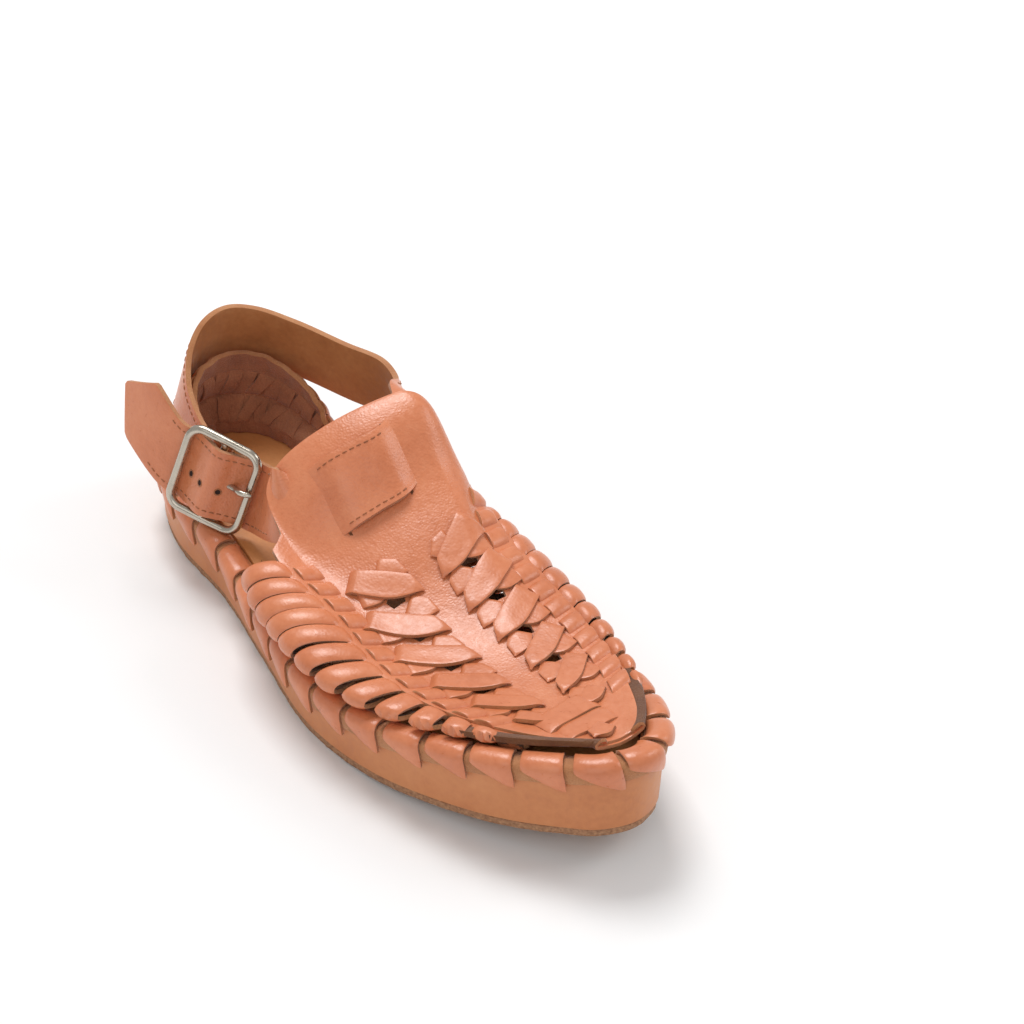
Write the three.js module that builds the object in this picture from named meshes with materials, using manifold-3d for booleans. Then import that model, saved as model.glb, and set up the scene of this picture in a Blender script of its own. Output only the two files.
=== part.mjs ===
// A woven leather sandal for the right foot: a platform sole with a whip-stitched rim, a woven
// vamp with a tongue flap, a braided heel counter and one long strap that buckles on the outer side.
// Millimetres. +X points to the toe, +Y to the inner side of the foot, +Z up, the sole stands on Z = 0.
import * as THREE from "three";
import { mergeVertices } from "three/addons/utils/BufferGeometryUtils.js";
import Module from "manifold-3d";

const wasm = await Module();
wasm.setup();

// Driving dimensions
const soleLength = 277;
const ballWidth = 95;
const platform = 24; // thickness of the whole sole at the heel
const outsoleThickness = 3;
const outsoleInset = 0.7;
const toeSpring = 13;
const springStart = 0.61; // share of the length where the bottom leaves the floor
const insoleThickness = 1.6;
const heelRecess = 0.8; // how far the footbed sinks below the rim
const toeRecess = 5;
const clearance = 0.3;
const footbedInset = 8.1; // width of the rim round the footbed
const laceThickness = 1.7;
const laceBand = 1.2; // thickness of the rim strip under the lace
const laceReach = 7.4; // how far the lace lies in over the top
const laceDrop = 7.4; // how far it hangs down the wall
const lacePitch = 17.8;
const laceGap = 3.2;
const laceSlant = 8;
const lacePhase = 2.5; // where the first stitch starts
const wall = 1.8; // leather of the vamp
const raise = 1.16; // how proud a woven strip stands
const leafRaise = 1.67;
const vampInset = 9.7; // where the vamp enters the rim
const instep = 60; // height of the ridge over the rim at the throat
const stripWidth = 9.04;
const strapWidth = 28;
const strapThickness = 2.2;
const counterWall = 2.2;
const counterHeight = 43;
const collarHeight = 80; // top of the collar at the back of the heel
const buckleWire = 3.4;
const buckleLength = 33;
const buckleHeight = 37;
const prongWire = 2.4;

const stations = 36; // cross rows of the sole
const V = (x, y, z) => new THREE.Vector3(x, y, z);

// Smooth interpolation in a table whose first column is the station
function readTable(rows, column, at) {
  const last = rows.length - 1;
  if (at <= rows[0].at) return rows[0][column];
  if (at >= rows[last].at) return rows[last][column];
  let i = 0;
  while (rows[i + 1].at < at) i++;
  const a = rows[i];
  const b = rows[i + 1];
  const slope = (k) => {
    if (k <= 0 || k >= last) return 0;
    return (rows[k + 1][column] - rows[k - 1][column]) / (rows[k + 1].at - rows[k - 1].at);
  };
  const span = b.at - a.at;
  const t = (at - a.at) / span;
  const m0 = i === 0 ? (b[column] - a[column]) / span : slope(i);
  const m1 = i + 1 === last ? (b[column] - a[column]) / span : slope(i + 1);
  const t2 = t * t;
  const t3 = t2 * t;
  return (
    (2 * t3 - 3 * t2 + 1) * a[column] +
    (t3 - 2 * t2 + t) * span * m0 +
    (3 * t2 - 2 * t3) * b[column] +
    (t3 - t2) * span * m1
  );
}

const share = (x) => x / soleLength + 0.5;
const stationX = (at) => (at - 0.5) * soleLength;

// Solids

function toSolid(positions, index) {
  const geometry = new THREE.BufferGeometry();
  geometry.setAttribute("position", new THREE.Float32BufferAttribute(positions.flatMap((p) => p.toArray()), 3));
  geometry.setIndex(index);
  const merged = mergeVertices(geometry, 1e-4);
  const vertProperties = merged.attributes.position.array;
  const triVerts = new Uint32Array(merged.index.array);
  let volume = 0;
  const a = V();
  const b = V();
  const c = V();
  for (let i = 0; i < triVerts.length; i += 3) {
    a.fromArray(vertProperties, triVerts[i] * 3);
    b.fromArray(vertProperties, triVerts[i + 1] * 3);
    c.fromArray(vertProperties, triVerts[i + 2] * 3);
    volume += a.dot(b.cross(c));
  }
  if (volume < 0) {
    for (let i = 0; i < triVerts.length; i += 3) {
      [triVerts[i + 1], triVerts[i + 2]] = [triVerts[i + 2], triVerts[i + 1]];
    }
  }
  return new wasm.Manifold(new wasm.Mesh({ numProp: 3, vertProperties, triVerts }));
}

// Rings of equal count, skinned one to the next; ends closed by rows across, or ring to ring
function skin(rings, { closed = false, across = false, strip = false } = {}) {
  const n = rings[0].length;
  const index = [];
  const bands = closed ? rings.length : rings.length - 1;
  for (let r = 0; r < bands; r++) {
    const s = (r + 1) % rings.length;
    for (let i = 0; i < n; i++) {
      const j = (i + 1) % n;
      index.push(r * n + i, r * n + j, s * n + j, r * n + i, s * n + j, s * n + i);
    }
  }
  if (!closed) {
    const lid = (base, flip) => {
      const tri = (a, b, c) => (flip ? index.push(base + a, base + c, base + b) : index.push(base + a, base + b, base + c));
      if (strip) {
        for (let i = 0; i < n / 2 - 1; i++) {
          tri(i, n - 2 - i, i + 1);
          tri(i, n - 1 - i, n - 2 - i);
        }
        return;
      }
      if (!across) {
        for (let i = 1; i < n - 1; i++) tri(0, i + 1, i);
        return;
      }
      for (let k = 0; k < n / 2; k++) {
        const a = k;
        const b = k + 1;
        const c = (n - k - 1) % n;
        const d = (n - k) % n;
        if (b !== c) tri(a, c, b);
        if (a !== d) tri(a, d, c);
      }
    };
    lid(0, false);
    lid((rings.length - 1) * n, true);
  }
  return toSolid(rings.flat(), index);
}

// The biggest piece of a cut solid, without the crumbs a cut leaves
function largest(solid) {
  return solid.decompose().reduce((a, b) => (b.volume() > a.volume() ? b : a));
}

function toMesh(name, solid, color, roughness, metalness = 0) {
  const { vertProperties, triVerts, numProp } = solid.getMesh();
  const geometry = new THREE.BufferGeometry();
  const position = new Float32Array((vertProperties.length / numProp) * 3);
  for (let i = 0; i < position.length / 3; i++) {
    position.set(vertProperties.subarray(i * numProp, i * numProp + 3), i * 3);
  }
  geometry.setAttribute("position", new THREE.BufferAttribute(position, 3));
  geometry.setIndex(new THREE.BufferAttribute(triVerts, 1));
  const mesh = new THREE.Mesh(geometry, new THREE.MeshStandardMaterial({ color, roughness, metalness }));
  mesh.name = name;
  return mesh;
}

// Outline of the sole: half widths as shares of ballWidth at shares of soleLength from the heel

const outlineRows = [
  { at: 0.038, outer: 0.215, inner: 0.255 },
  { at: 0.134, outer: 0.337, inner: 0.368 },
  { at: 0.283, outer: 0.371, inner: 0.309 },
  { at: 0.428, outer: 0.453, inner: 0.29 },
  { at: 0.572, outer: 0.529, inner: 0.4 },
  { at: 0.711, outer: 0.495, inner: 0.473 },
  { at: 0.812, outer: 0.4, inner: 0.44 },
  { at: 0.888, outer: 0.295, inner: 0.374 },
  { at: 0.949, outer: 0.168, inner: 0.284 },
  { at: 0.985, outer: 0.07, inner: 0.188 },
];
const heelCentre = 0.015;
const toeCentre = 0.063;
const outline = new THREE.CatmullRomCurve3(
  [
    V(-soleLength / 2, heelCentre * ballWidth, 0),
    ...outlineRows.map((r) => V(stationX(r.at), -r.outer * ballWidth, 0)),
    V(soleLength / 2, toeCentre * ballWidth, 0),
    ...outlineRows.toReversed().map((r) => V(stationX(r.at), r.inner * ballWidth, 0)),
  ],
  true,
  "centripetal",
);
outline.arcLengthDivisions = 1200;
const perimeter = outline.getLength();
const edgeSamples = 900;
const edge = Array.from({ length: edgeSamples }, (_, i) => {
  const point = outline.getPointAt(i / edgeSamples);
  const along = outline.getTangentAt(i / edgeSamples);
  return { point, outward: V(along.y, -along.x, 0).normalize() };
});

const insetCache = new Map();

// The outline moved in by a distance, split into its outer and inner side by its two ends
function insetSides(inset) {
  if (!insetCache.has(inset)) {
    const loop = edge.map((e) => e.point.clone().addScaledVector(e.outward, -inset));
    const half = edge.findIndex((e) => e.point.x === Math.max(...edge.map((q) => q.point.x)));
    insetCache.set(inset, { outer: loop.slice(0, half + 1), inner: [...loop.slice(half), loop[0]].toReversed() });
  }
  return insetCache.get(inset);
}

function sideAt(inset, side, x) {
  const line = insetSides(inset)[side];
  let i = 0;
  while (i < line.length - 2 && line[i + 1].x < x) i++;
  const t = THREE.MathUtils.clamp((x - line[i].x) / Math.max(line[i + 1].x - line[i].x, 1e-6), 0, 1);
  return THREE.MathUtils.lerp(line[i].y, line[i + 1].y, t);
}

function soleRing(inset, height) {
  const { outer } = insetSides(inset);
  const back = outer[0];
  const tip = outer[outer.length - 1];
  const points = [];
  const push = (k, side) => {
    const x = THREE.MathUtils.lerp(back.x, tip.x, (1 - Math.cos((Math.PI * k) / stations)) / 2);
    const y = k === 0 ? back.y : k === stations ? tip.y : sideAt(inset, side, x);
    points.push(V(x, y, height(x)));
  };
  for (let k = 0; k <= stations; k++) push(k, "outer");
  for (let k = stations - 1; k > 0; k--) push(k, "inner");
  return points;
}

// Side profile of the sole: thickness as a share of platform
const profileRows = [
  { at: 0, thick: 1, recess: 0 },
  { at: 0.225, thick: 0.92, recess: 0 },
  { at: 0.334, thick: 0.83, recess: 0 },
  { at: 0.464, thick: 0.77, recess: 0.1 },
  { at: 0.6, thick: 0.855, recess: 0.6 },
  { at: 0.735, thick: 0.985, recess: 1 },
  { at: 0.857, thick: 1.12, recess: 1 },
  { at: 1, thick: 1.25, recess: 1 },
];
const springPower = 1.5;
const bottomZ = (x) => toeSpring * Math.max(0, (share(x) - springStart) / (1 - springStart)) ** springPower;
const rimZ = (x) => bottomZ(x) + platform * readTable(profileRows, "thick", share(x));
const footbedZ = (x) => rimZ(x) - THREE.MathUtils.lerp(heelRecess, toeRecess, readTable(profileRows, "recess", share(x)));
const insoleZ = (x) => footbedZ(x) + clearance + insoleThickness;

function makeOutsole() {
  const low = soleRing(outsoleInset, bottomZ);
  const high = soleRing(outsoleInset, (x) => bottomZ(x) + outsoleThickness);
  return skin([low, high], { across: true });
}

function makeMidsole() {
  const edgeRound = 1;
  const seat = (x) => bottomZ(x) + outsoleThickness + clearance;
  return skin(
    [
      soleRing(0, seat),
      soleRing(0, (x) => rimZ(x) - edgeRound),
      soleRing(edgeRound, rimZ),
      soleRing(footbedInset, rimZ),
      soleRing(footbedInset, footbedZ),
    ],
    { across: true },
  );
}

function makeInsole() {
  const inset = footbedInset + clearance;
  const low = soleRing(inset, (x) => footbedZ(x) + clearance);
  const high = soleRing(inset, insoleZ);
  return skin([low, high], { across: true });
}

// Rim strip with the slanted stitches of the lace standing on it, swept round the outline
function makeEdgeLacing() {
  const count = Math.round(perimeter / lacePitch);
  const pitch = perimeter / count;
  const lift = 0.95; // keeps the chords of the sweep off the wall
  const step = 0.25;
  const stitch = pitch - laceGap;
  const section = (thick, drop) => [
    { out: -laceReach, up: clearance, slant: 0 },
    { out: lift, up: clearance, slant: 0.45 },
    { out: lift, up: -drop, slant: 1 },
    { out: lift + thick, up: -drop, slant: 1 },
    { out: lift + thick, up: -1, slant: 0.55 },
    { out: -1, up: clearance + thick, slant: 0.35 },
    { out: -laceReach, up: clearance + thick, slant: 0 },
  ];
  const low = section(laceBand, laceDrop - 2.6);
  const high = section(laceBand + laceThickness, laceDrop);
  const rings = [];
  const ring = (distance, points) => {
    rings.push(
      points.map((p) => {
        const u = (((distance + p.slant * laceSlant) / perimeter) % 1 + 1) % 1;
        const at = outline.getPointAt(u);
        const along = outline.getTangentAt(u);
        const x = THREE.MathUtils.clamp(at.x, -soleLength / 2, soleLength / 2);
        return V(at.x + along.y * p.out, at.y - along.x * p.out, rimZ(x) + p.up);
      }),
    );
  };
  for (let i = 0; i < count; i++) {
    const start = i * pitch + lacePhase;
    ring(start, low);
    ring(start + step, high);
    ring(start + stitch / 2, high);
    ring(start + stitch - step, high);
    ring(start + stitch, low);
  }
  return skin(rings, { closed: true });
}

// Vamp. A cross section runs up from the insole to the knee, out over the lace in a swell, back in to
// the joint where the side strips go under, and on to the ridge. Heights are shares of instep over the
// rim, widths shares of ballWidth. a and b are the swell's two handles, measured from the foot of the
// wall; reach and top are the handle at the ridge.
const ridgeRows = [
  { at: 0.283, y: 0.3, z: 1.02 },
  { at: 0.377, y: 0.315, z: 1.01 },
  { at: 0.446, y: 0.31, z: 0.77 },
  { at: 0.514, y: 0.28, z: 0.6 },
  { at: 0.565, y: 0.23, z: 0.47 },
  { at: 0.63, y: 0.21, z: 0.345 },
  { at: 0.695, y: 0.16, z: 0.225 },
  { at: 0.76, y: 0.125, z: 0.15 },
  { at: 0.829, y: 0.085, z: 0.1 },
  { at: 0.897, y: 0.074, z: 0.08 },
  { at: 0.951, y: 0.063, z: 0.062 },
];
const flankRows = {
  outer: [
    { at: 0.283, a: 0.18, b: 0.18, bz: 0.6, jointY: 0.263, jointZ: 0.55, reach: 0.47, top: 0.9 },
    { at: 0.377, a: 0.19, b: 0.185, bz: 0.46, jointY: 0.284, jointZ: 0.42, reach: 0.44, top: 0.84 },
    { at: 0.446, a: 0.23, b: 0.22, bz: 0.455, jointY: 0.295, jointZ: 0.35, reach: 0.34, top: 0.62 },
    { at: 0.514, a: 0.22, b: 0.19, bz: 0.44, jointY: 0.284, jointZ: 0.3, reach: 0.31, top: 0.49 },
    { at: 0.565, a: 0.2, b: 0.185, bz: 0.39, jointY: 0.284, jointZ: 0.25, reach: 0.25, top: 0.36 },
    { at: 0.63, a: 0.19, b: 0.175, bz: 0.32, jointY: 0.295, jointZ: 0.193, reach: 0.25, top: 0.24 },
    { at: 0.695, a: 0.158, b: 0.14, bz: 0.24, jointY: 0.289, jointZ: 0.145, reach: 0.25, top: 0.14 },
    { at: 0.76, a: 0.126, b: 0.115, bz: 0.187, jointY: 0.263, jointZ: 0.12, reach: 0.22, top: 0.1 },
    { at: 0.829, a: 0.095, b: 0.085, bz: 0.15, jointY: 0.21, jointZ: 0.107, reach: 0.16, top: 0.08 },
    { at: 0.897, a: 0.063, b: 0.055, bz: 0.13, jointY: 0.132, jointZ: 0.102, reach: 0.1, top: 0.08 },
    { at: 0.951, a: 0.03, b: 0.025, bz: 0.12, jointY: 0.042, jointZ: 0.102, reach: 0.04, top: 0.065 },
  ],
  inner: [
    { at: 0.283, a: 0.23, b: 0.24, bz: 0.38, jointY: 0.442, jointZ: 0.585, reach: 0.15, top: 1.08 },
    { at: 0.377, a: 0.263, b: 0.27, bz: 0.38, jointY: 0.442, jointZ: 0.597, reach: 0.14, top: 1.08 },
    { at: 0.446, a: 0.295, b: 0.285, bz: 0.39, jointY: 0.442, jointZ: 0.59, reach: 0.1, top: 0.75 },
    { at: 0.514, a: 0.326, b: 0.326, bz: 0.44, jointY: 0.39, jointZ: 0.517, reach: 0.06, top: 0.62 },
    { at: 0.565, a: 0.305, b: 0.316, bz: 0.385, jointY: 0.368, jointZ: 0.435, reach: 0.07, top: 0.49 },
    { at: 0.63, a: 0.263, b: 0.263, bz: 0.327, jointY: 0.374, jointZ: 0.343, reach: 0.09, top: 0.36 },
    { at: 0.695, a: 0.2, b: 0.195, bz: 0.265, jointY: 0.379, jointZ: 0.248, reach: 0.12, top: 0.235 },
    { at: 0.76, a: 0.147, b: 0.147, bz: 0.2, jointY: 0.363, jointZ: 0.178, reach: 0.14, top: 0.16 },
    { at: 0.829, a: 0.105, b: 0.105, bz: 0.16, jointY: 0.316, jointZ: 0.132, reach: 0.14, top: 0.105 },
    { at: 0.897, a: 0.068, b: 0.066, bz: 0.135, jointY: 0.237, jointZ: 0.107, reach: 0.1, top: 0.085 },
    { at: 0.951, a: 0.03, b: 0.028, bz: 0.12, jointY: 0.153, jointZ: 0.102, reach: 0.05, top: 0.065 },
  ],
};

const laceTop = clearance + laceBand + laceThickness;
const kneeLift = 2.9; // the wall stands straight up to here, then swells out over the lace
const kneeShare = 0.08;
const jointShare = 0.36;
const smoothing = 0.35; // how far the crown carries on the way the swell came

// A point of the vamp's middle surface: across runs from -1, outer rim, over 0, ridge, to 1, inner rim
function vampPoint(x, across) {
  const at = share(x);
  const rim = rimZ(x);
  const side = across < 0 ? -1 : 1;
  const name = across < 0 ? "outer" : "inner";
  const get = (column) => readTable(flankRows[name], column, at);
  const foot = V(x, sideAt(vampInset, name, x), insoleZ(x) + clearance);
  const knee = V(x, foot.y, rim + laceTop + kneeLift);
  const way = 1 - Math.abs(across);
  if (way < kneeShare) return foot.lerp(knee, way / kneeShare);
  const handle = V(x, foot.y + side * get("b") * ballWidth, rim + get("bz") * instep);
  const joint = V(x, side * get("jointY") * ballWidth, rim + get("jointZ") * instep);
  if (way < jointShare) {
    const swell = V(x, foot.y + side * get("a") * ballWidth, knee.z);
    return new THREE.CubicBezierCurve3(knee, swell, handle, joint).getPoint((way - kneeShare) / (jointShare - kneeShare));
  }
  const ridge = V(x, readTable(ridgeRows, "y", at) * ballWidth, rim + readTable(ridgeRows, "z", at) * instep);
  const lead = joint.clone().addScaledVector(joint.clone().sub(handle), smoothing);
  const crown = V(x, ridge.y + side * get("reach") * ballWidth, rim + get("top") * instep);
  return new THREE.CubicBezierCurve3(joint, lead, crown, ridge).getPoint((way - jointShare) / (1 - jointShare));
}

function vampNormal(x, across) {
  const e = 0.02;
  const dx = vampPoint(x + 0.8, across).sub(vampPoint(x - 0.8, across));
  const a0 = THREE.MathUtils.clamp(across - e, -0.999, 0.999);
  const a1 = THREE.MathUtils.clamp(across + e, -0.999, 0.999);
  const dy = vampPoint(x, a1).sub(vampPoint(x, a0));
  return dx.cross(dy).normalize();
}

const vampAt = (x, across, lift) => vampPoint(x, across).addScaledVector(vampNormal(x, across), lift);

// Rear edge of the vamp and its flap: station against the way across
const rearRows = [
  { across: -1, at: 0.335 },
  { across: -0.92, at: 0.355 },
  { across: -0.855, at: 0.372 },
  { across: -0.785, at: 0.392 },
  { across: -0.715, at: 0.415 },
  { across: -0.65, at: 0.388 },
  { across: -0.6, at: 0.345 },
  { across: -0.52, at: 0.318 },
  { across: -0.36, at: 0.31 },
  { across: -0.16, at: 0.325 },
  { across: 0.05, at: 0.355 },
  { across: 0.2, at: 0.378 },
  { across: 0.34, at: 0.41 },
  { across: 0.52, at: 0.462 },
  { across: 0.65, at: 0.455 },
  { across: 0.715, at: 0.437 },
  { across: 0.785, at: 0.418 },
  { across: 0.855, at: 0.398 },
  { across: 0.92, at: 0.375 },
  { across: 1, at: 0.35 },
];
const vampFront = 0.955;
const vampColumns = 10;

function makeVampSheet() {
  const rows = rearRows.map((r) => r.across);
  const low = -wall / 2;
  const high = wall / 2;
  const grid = (lift) =>
    rearRows.map((row) =>
      Array.from({ length: vampColumns + 1 }, (_, k) => {
        const at = THREE.MathUtils.lerp(row.at, vampFront, k / vampColumns);
        return vampAt(stationX(at), row.across, lift);
      }),
    );
  const under = grid(low);
  const over = grid(high);
  const n = vampColumns + 1;
  const m = rows.length;
  const points = [...over.flat(), ...under.flat()];
  const index = [];
  const id = (layer, r, c) => layer * m * n + r * n + c;
  for (let r = 0; r < m - 1; r++) {
    for (let c = 0; c < n - 1; c++) {
      index.push(id(0, r, c), id(0, r, c + 1), id(0, r + 1, c + 1), id(0, r, c), id(0, r + 1, c + 1), id(0, r + 1, c));
      index.push(id(1, r, c), id(1, r + 1, c + 1), id(1, r, c + 1), id(1, r, c), id(1, r + 1, c), id(1, r + 1, c + 1));
    }
  }
  const rimQuad = (r0, c0, r1, c1) =>
    index.push(id(0, r0, c0), id(0, r1, c1), id(1, r1, c1), id(0, r0, c0), id(1, r1, c1), id(1, r0, c0));
  for (let c = 0; c < n - 1; c++) {
    rimQuad(0, c + 1, 0, c);
    rimQuad(m - 1, c, m - 1, c + 1);
  }
  for (let r = 0; r < m - 1; r++) {
    rimQuad(r, 0, r + 1, 0);
    rimQuad(r + 1, n - 1, r, n - 1);
  }
  return toSolid(points, index);
}

// A strip over the swell of one side, from a station by the rim to one by the joint
function swellStrip(sign, [lowX, lowHalf], [highX, highHalf], ways, low, high) {
  const rings = ways.map((way) => {
    const t = (ways[0] - way) / (ways[0] - ways[ways.length - 1]);
    const x = THREE.MathUtils.lerp(lowX, highX, t);
    const half = THREE.MathUtils.lerp(lowHalf, highHalf, t);
    const corner = (offset, lift) => vampAt(x + offset, sign * way, lift);
    return [corner(-half, low), corner(half, low), corner(half, high), corner(-half, high)];
  });
  return skin(rings);
}

// Side strips: where each leaves the rim and where it goes under the inner strip, in shares
const sideRows = {
  outer: { rim: [0.35, 0.386, 0.423, 0.46, 0.502, 0.557, 0.613, 0.67, 0.727, 0.78, 0.828, 0.87], top: 0.451 },
  inner: { rim: [0.36, 0.402, 0.444, 0.484, 0.53, 0.58, 0.634, 0.686, 0.738, 0.788, 0.834, 0.874], top: 0.483 },
};
const stripPitch = 9.4;
const stripWays = [0.904, 0.855, 0.785, 0.715, 0.636]; // the way across along a side strip
const gapWays = [0.882, 0.84, 0.78];

// Leaves: strips that come out between the side strips and end in a point on the ridge. Tips are
// stations along X; the other columns are distances from the tip, or places across, in millimetres.
const leafRows = [
  { tips: [18.5, 37.5, 55.5, 73.6, 91.5], tipY: 0, backX: 20, backY: -19.5, halfX: 2.2, halfY: -3.2, holeX: 2, holeY: -11.5 },
  { tips: [19.4, 36, 53.5, 72, 90], tipY: 8.5, backX: 13.5, backY: 29.5, halfX: 2.4, halfY: 3, holeX: 0.5, holeY: 20 },
];
const holes = 4; // leaves with a hole ahead of them, on each side
const holeHalf = 2.6;
const ledge = 0.92; // wall left between a gap and the strip beside it

// Way across the vamp at which it reaches a given y
function acrossAt(x, y) {
  let low = -0.9;
  let high = 0.9;
  for (let i = 0; i < 24; i++) {
    const middle = (low + high) / 2;
    const reach = vampPoint(x, middle).y - y;
    if (middle > 0.6 || reach > 0) high = middle;
    else low = middle;
  }
  return (low + high) / 2;
}

// A raised or cutting patch between pairs of places [x, y] seen from above
function vampPatch(pairs, low, high) {
  return skin(
    pairs.map(([a, b]) => {
      const [p, q] = [a, b].map(([x, y]) => [x, acrossAt(x, y)]);
      return [vampAt(...p, low), vampAt(...q, low), vampAt(...q, high), vampAt(...p, high)];
    }),
  );
}

function makeVamp() {
  let vamp = makeVampSheet();
  const cuts = [strapSweep(slotSlack, slotRows)];
  for (const [name, sign] of [["outer", -1], ["inner", 1]]) {
    const { rim, top } = sideRows[name];
    rim.forEach((at, i) => {
      const low = stationX(at);
      const high = stationX(top) + i * stripPitch;
      const half = stripWidth / 2;
      vamp = vamp.add(swellStrip(sign, [low, half], [high, half], stripWays, 0, wall / 2 + raise));
      const before = i > 0 ? stationX(rim[i - 1]) : low;
      const gap = (low - before - stripWidth) / 2 - ledge;
      if (gap > ledge) {
        const middle = (low + before) / 2;
        const end = (high - stripPitch / 2 + middle) / 2;
        cuts.push(swellStrip(sign, [middle, gap], [end, ledge], gapWays, -wall * 2, wall * 2));
      }
    });
  }
  for (const row of leafRows) {
    row.tips.forEach((tip, i) => {
      const narrow = 1 - 0.06 * Math.max(0, i - 2);
      const back = [tip - row.backX, row.backY * narrow];
      const middle = [(tip + back[0]) / 2, (row.tipY + back[1]) / 2];
      const pair = ([x, y], size) => [[x - row.halfX * size, y - row.halfY * size], [x + row.halfX * size, y + row.halfY * size]];
      vamp = vamp.add(vampPatch([pair(back, 1), pair(middle, 1.35), pair([tip, row.tipY], 0.3)], 0.2, wall / 2 + leafRaise));
      if (i >= holes) return;
      const [x, y] = [tip - row.holeX, row.holeY];
      const wide = holeHalf * Math.sign(row.halfY);
      cuts.push(
        vampPatch(
          [
            [[x - holeHalf * 0.4, y - wide], [x + holeHalf, y - wide]],
            [[x - holeHalf, y + wide], [x + holeHalf, y + wide]],
          ],
          -wall * 2, wall * 3,
        ),
      );
    });
  }
  for (const cut of cuts) vamp = vamp.subtract(cut);
  return largest(vamp);
}

// Frame of the buckle: its middle, along the strap to the toe, across the strap upward, and outward
const buckleAt = V(-75.7, -29.8, 44.7);
const buckleAlong = V(0.85, 0.48, -0.22).normalize();
const buckleOut = buckleAlong.clone().cross(V(0.07, 0.32, 0.95)).normalize();
const buckleUp = buckleOut.clone().cross(buckleAlong).normalize();
const inBuckle = (along, up, out) =>
  buckleAt.clone().addScaledVector(buckleAlong, along).addScaledVector(buckleUp, up).addScaledVector(buckleOut, out);

// Middle line of the strap. Free rows give a place and the lean of its width, flap rows a place on the
// vamp's flap and a lift off it, buckle rows a place in the buckle.
const overWire = buckleWire / 2 + strapThickness / 2 + clearance + 0.15;
const overFlap = wall / 2 + strapThickness / 2 + clearance + 0.25;
const strapRows = [
  { kind: "buckle", along: 2, out: -overWire - 0.5 },
  { kind: "buckle", along: -5, out: -overWire - 0.7 },
  { kind: "free", x: -86, y: -28, z: 42, leanX: 0.04, leanY: 0.33 },
  { kind: "free", x: -96, y: -25.5, z: 40, leanX: 0.02, leanY: 0.35 },
  { kind: "free", x: -107, y: -23, z: 42.5, leanX: 0.05, leanY: 0.3 },
  { kind: "free", x: -118, y: -19.5, z: 48, leanX: 0.12, leanY: 0.25 },
  { kind: "free", x: -127, y: -12, z: 57, leanX: 0.18, leanY: 0.14 },
  { kind: "free", x: -132, y: -2, z: 64, leanX: 0.22, leanY: 0.05 },
  { kind: "free", x: -133, y: 9, z: collarHeight - 13.6, leanX: 0.22, leanY: 0 },
  { kind: "free", x: -129, y: 20, z: 65, leanX: 0.22, leanY: -0.05 },
  { kind: "free", x: -116, y: 32, z: 61.5, leanX: 0.16, leanY: -0.12 },
  { kind: "free", x: -95, y: 42.5, z: 58.5, leanX: 0.08, leanY: -0.16 },
  { kind: "free", x: -74, y: 47.5, z: 60, leanX: -0.05, leanY: -0.2 },
  { kind: "free", x: -58, y: 45, z: 61.5, leanX: -0.25, leanY: -0.22 },
  { kind: "flap", x: -41, y: 37, lift: -overFlap - 1 },
  { kind: "flap", x: -30, y: 26.5, lift: -overFlap },
  { kind: "flap", x: -24.5, y: 18.5, lift: 0 },
  { kind: "flap", x: -23, y: 13, lift: overFlap },
  { kind: "flap", x: -24.5, y: 4.5, lift: overFlap + 0.2 },
  { kind: "flap", x: -26.5, y: -4, lift: overFlap },
  { kind: "flap", x: -28.5, y: -9.5, lift: 0 },
  { kind: "flap", x: -32, y: -15, lift: -overFlap - 0.4 },
  { kind: "free", x: -43.5, y: -20.5, z: 49.8, leanX: -0.4, leanY: 0.19 },
  { kind: "buckle", along: 19, out: -overWire - 0.4 },
  { kind: "buckle", along: 13, out: -overWire - 0.2 },
  { kind: "buckle", along: 6, out: 0 },
  { kind: "buckle", along: 0, out: overWire },
  { kind: "buckle", along: -6, out: 0 },
  { kind: "buckle", along: -12.5, out: -overWire - 0.2 },
  { kind: "buckle", along: -19, out: -overWire },
  { kind: "free", x: -108, y: -38.5, z: 56.5, leanX: 0.28, leanY: 0.33 },
  { kind: "free", x: -123, y: -38.5, z: 65.5, leanX: 0.42, leanY: 0.3 },
];
const slotRows = [13, 23]; // rows between which the strap passes the flap
const slotSlack = 0.55;
const strapTip = 13; // length of the pointed end
const strapSteps = 2; // rings to a row

const strapColumns = [-1, -0.5, 0, 0.5, 1]; // across the width, from the lower edge to the upper one

// Points of the strap's middle surface across its width at one row
function strapAcross(row) {
  const reach = strapColumns.map((c) => (c * strapWidth) / 2);
  if (row.kind === "flap") {
    const middle = acrossAt(row.x, row.y);
    const slope = vampPoint(row.x - 5, middle).distanceTo(vampPoint(row.x + 5, middle)) / 10;
    return reach.map((r) => {
      const x = row.x - r / slope;
      return vampAt(x, acrossAt(x, row.y), row.lift);
    });
  }
  if (row.kind === "buckle") return reach.map((r) => inBuckle(row.along, r, row.out));
  const up = V(row.leanX, row.leanY, Math.sqrt(1 - row.leanX ** 2 - row.leanY ** 2));
  return reach.map((r) => V(row.x, row.y, row.z).addScaledVector(up, r));
}

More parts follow.
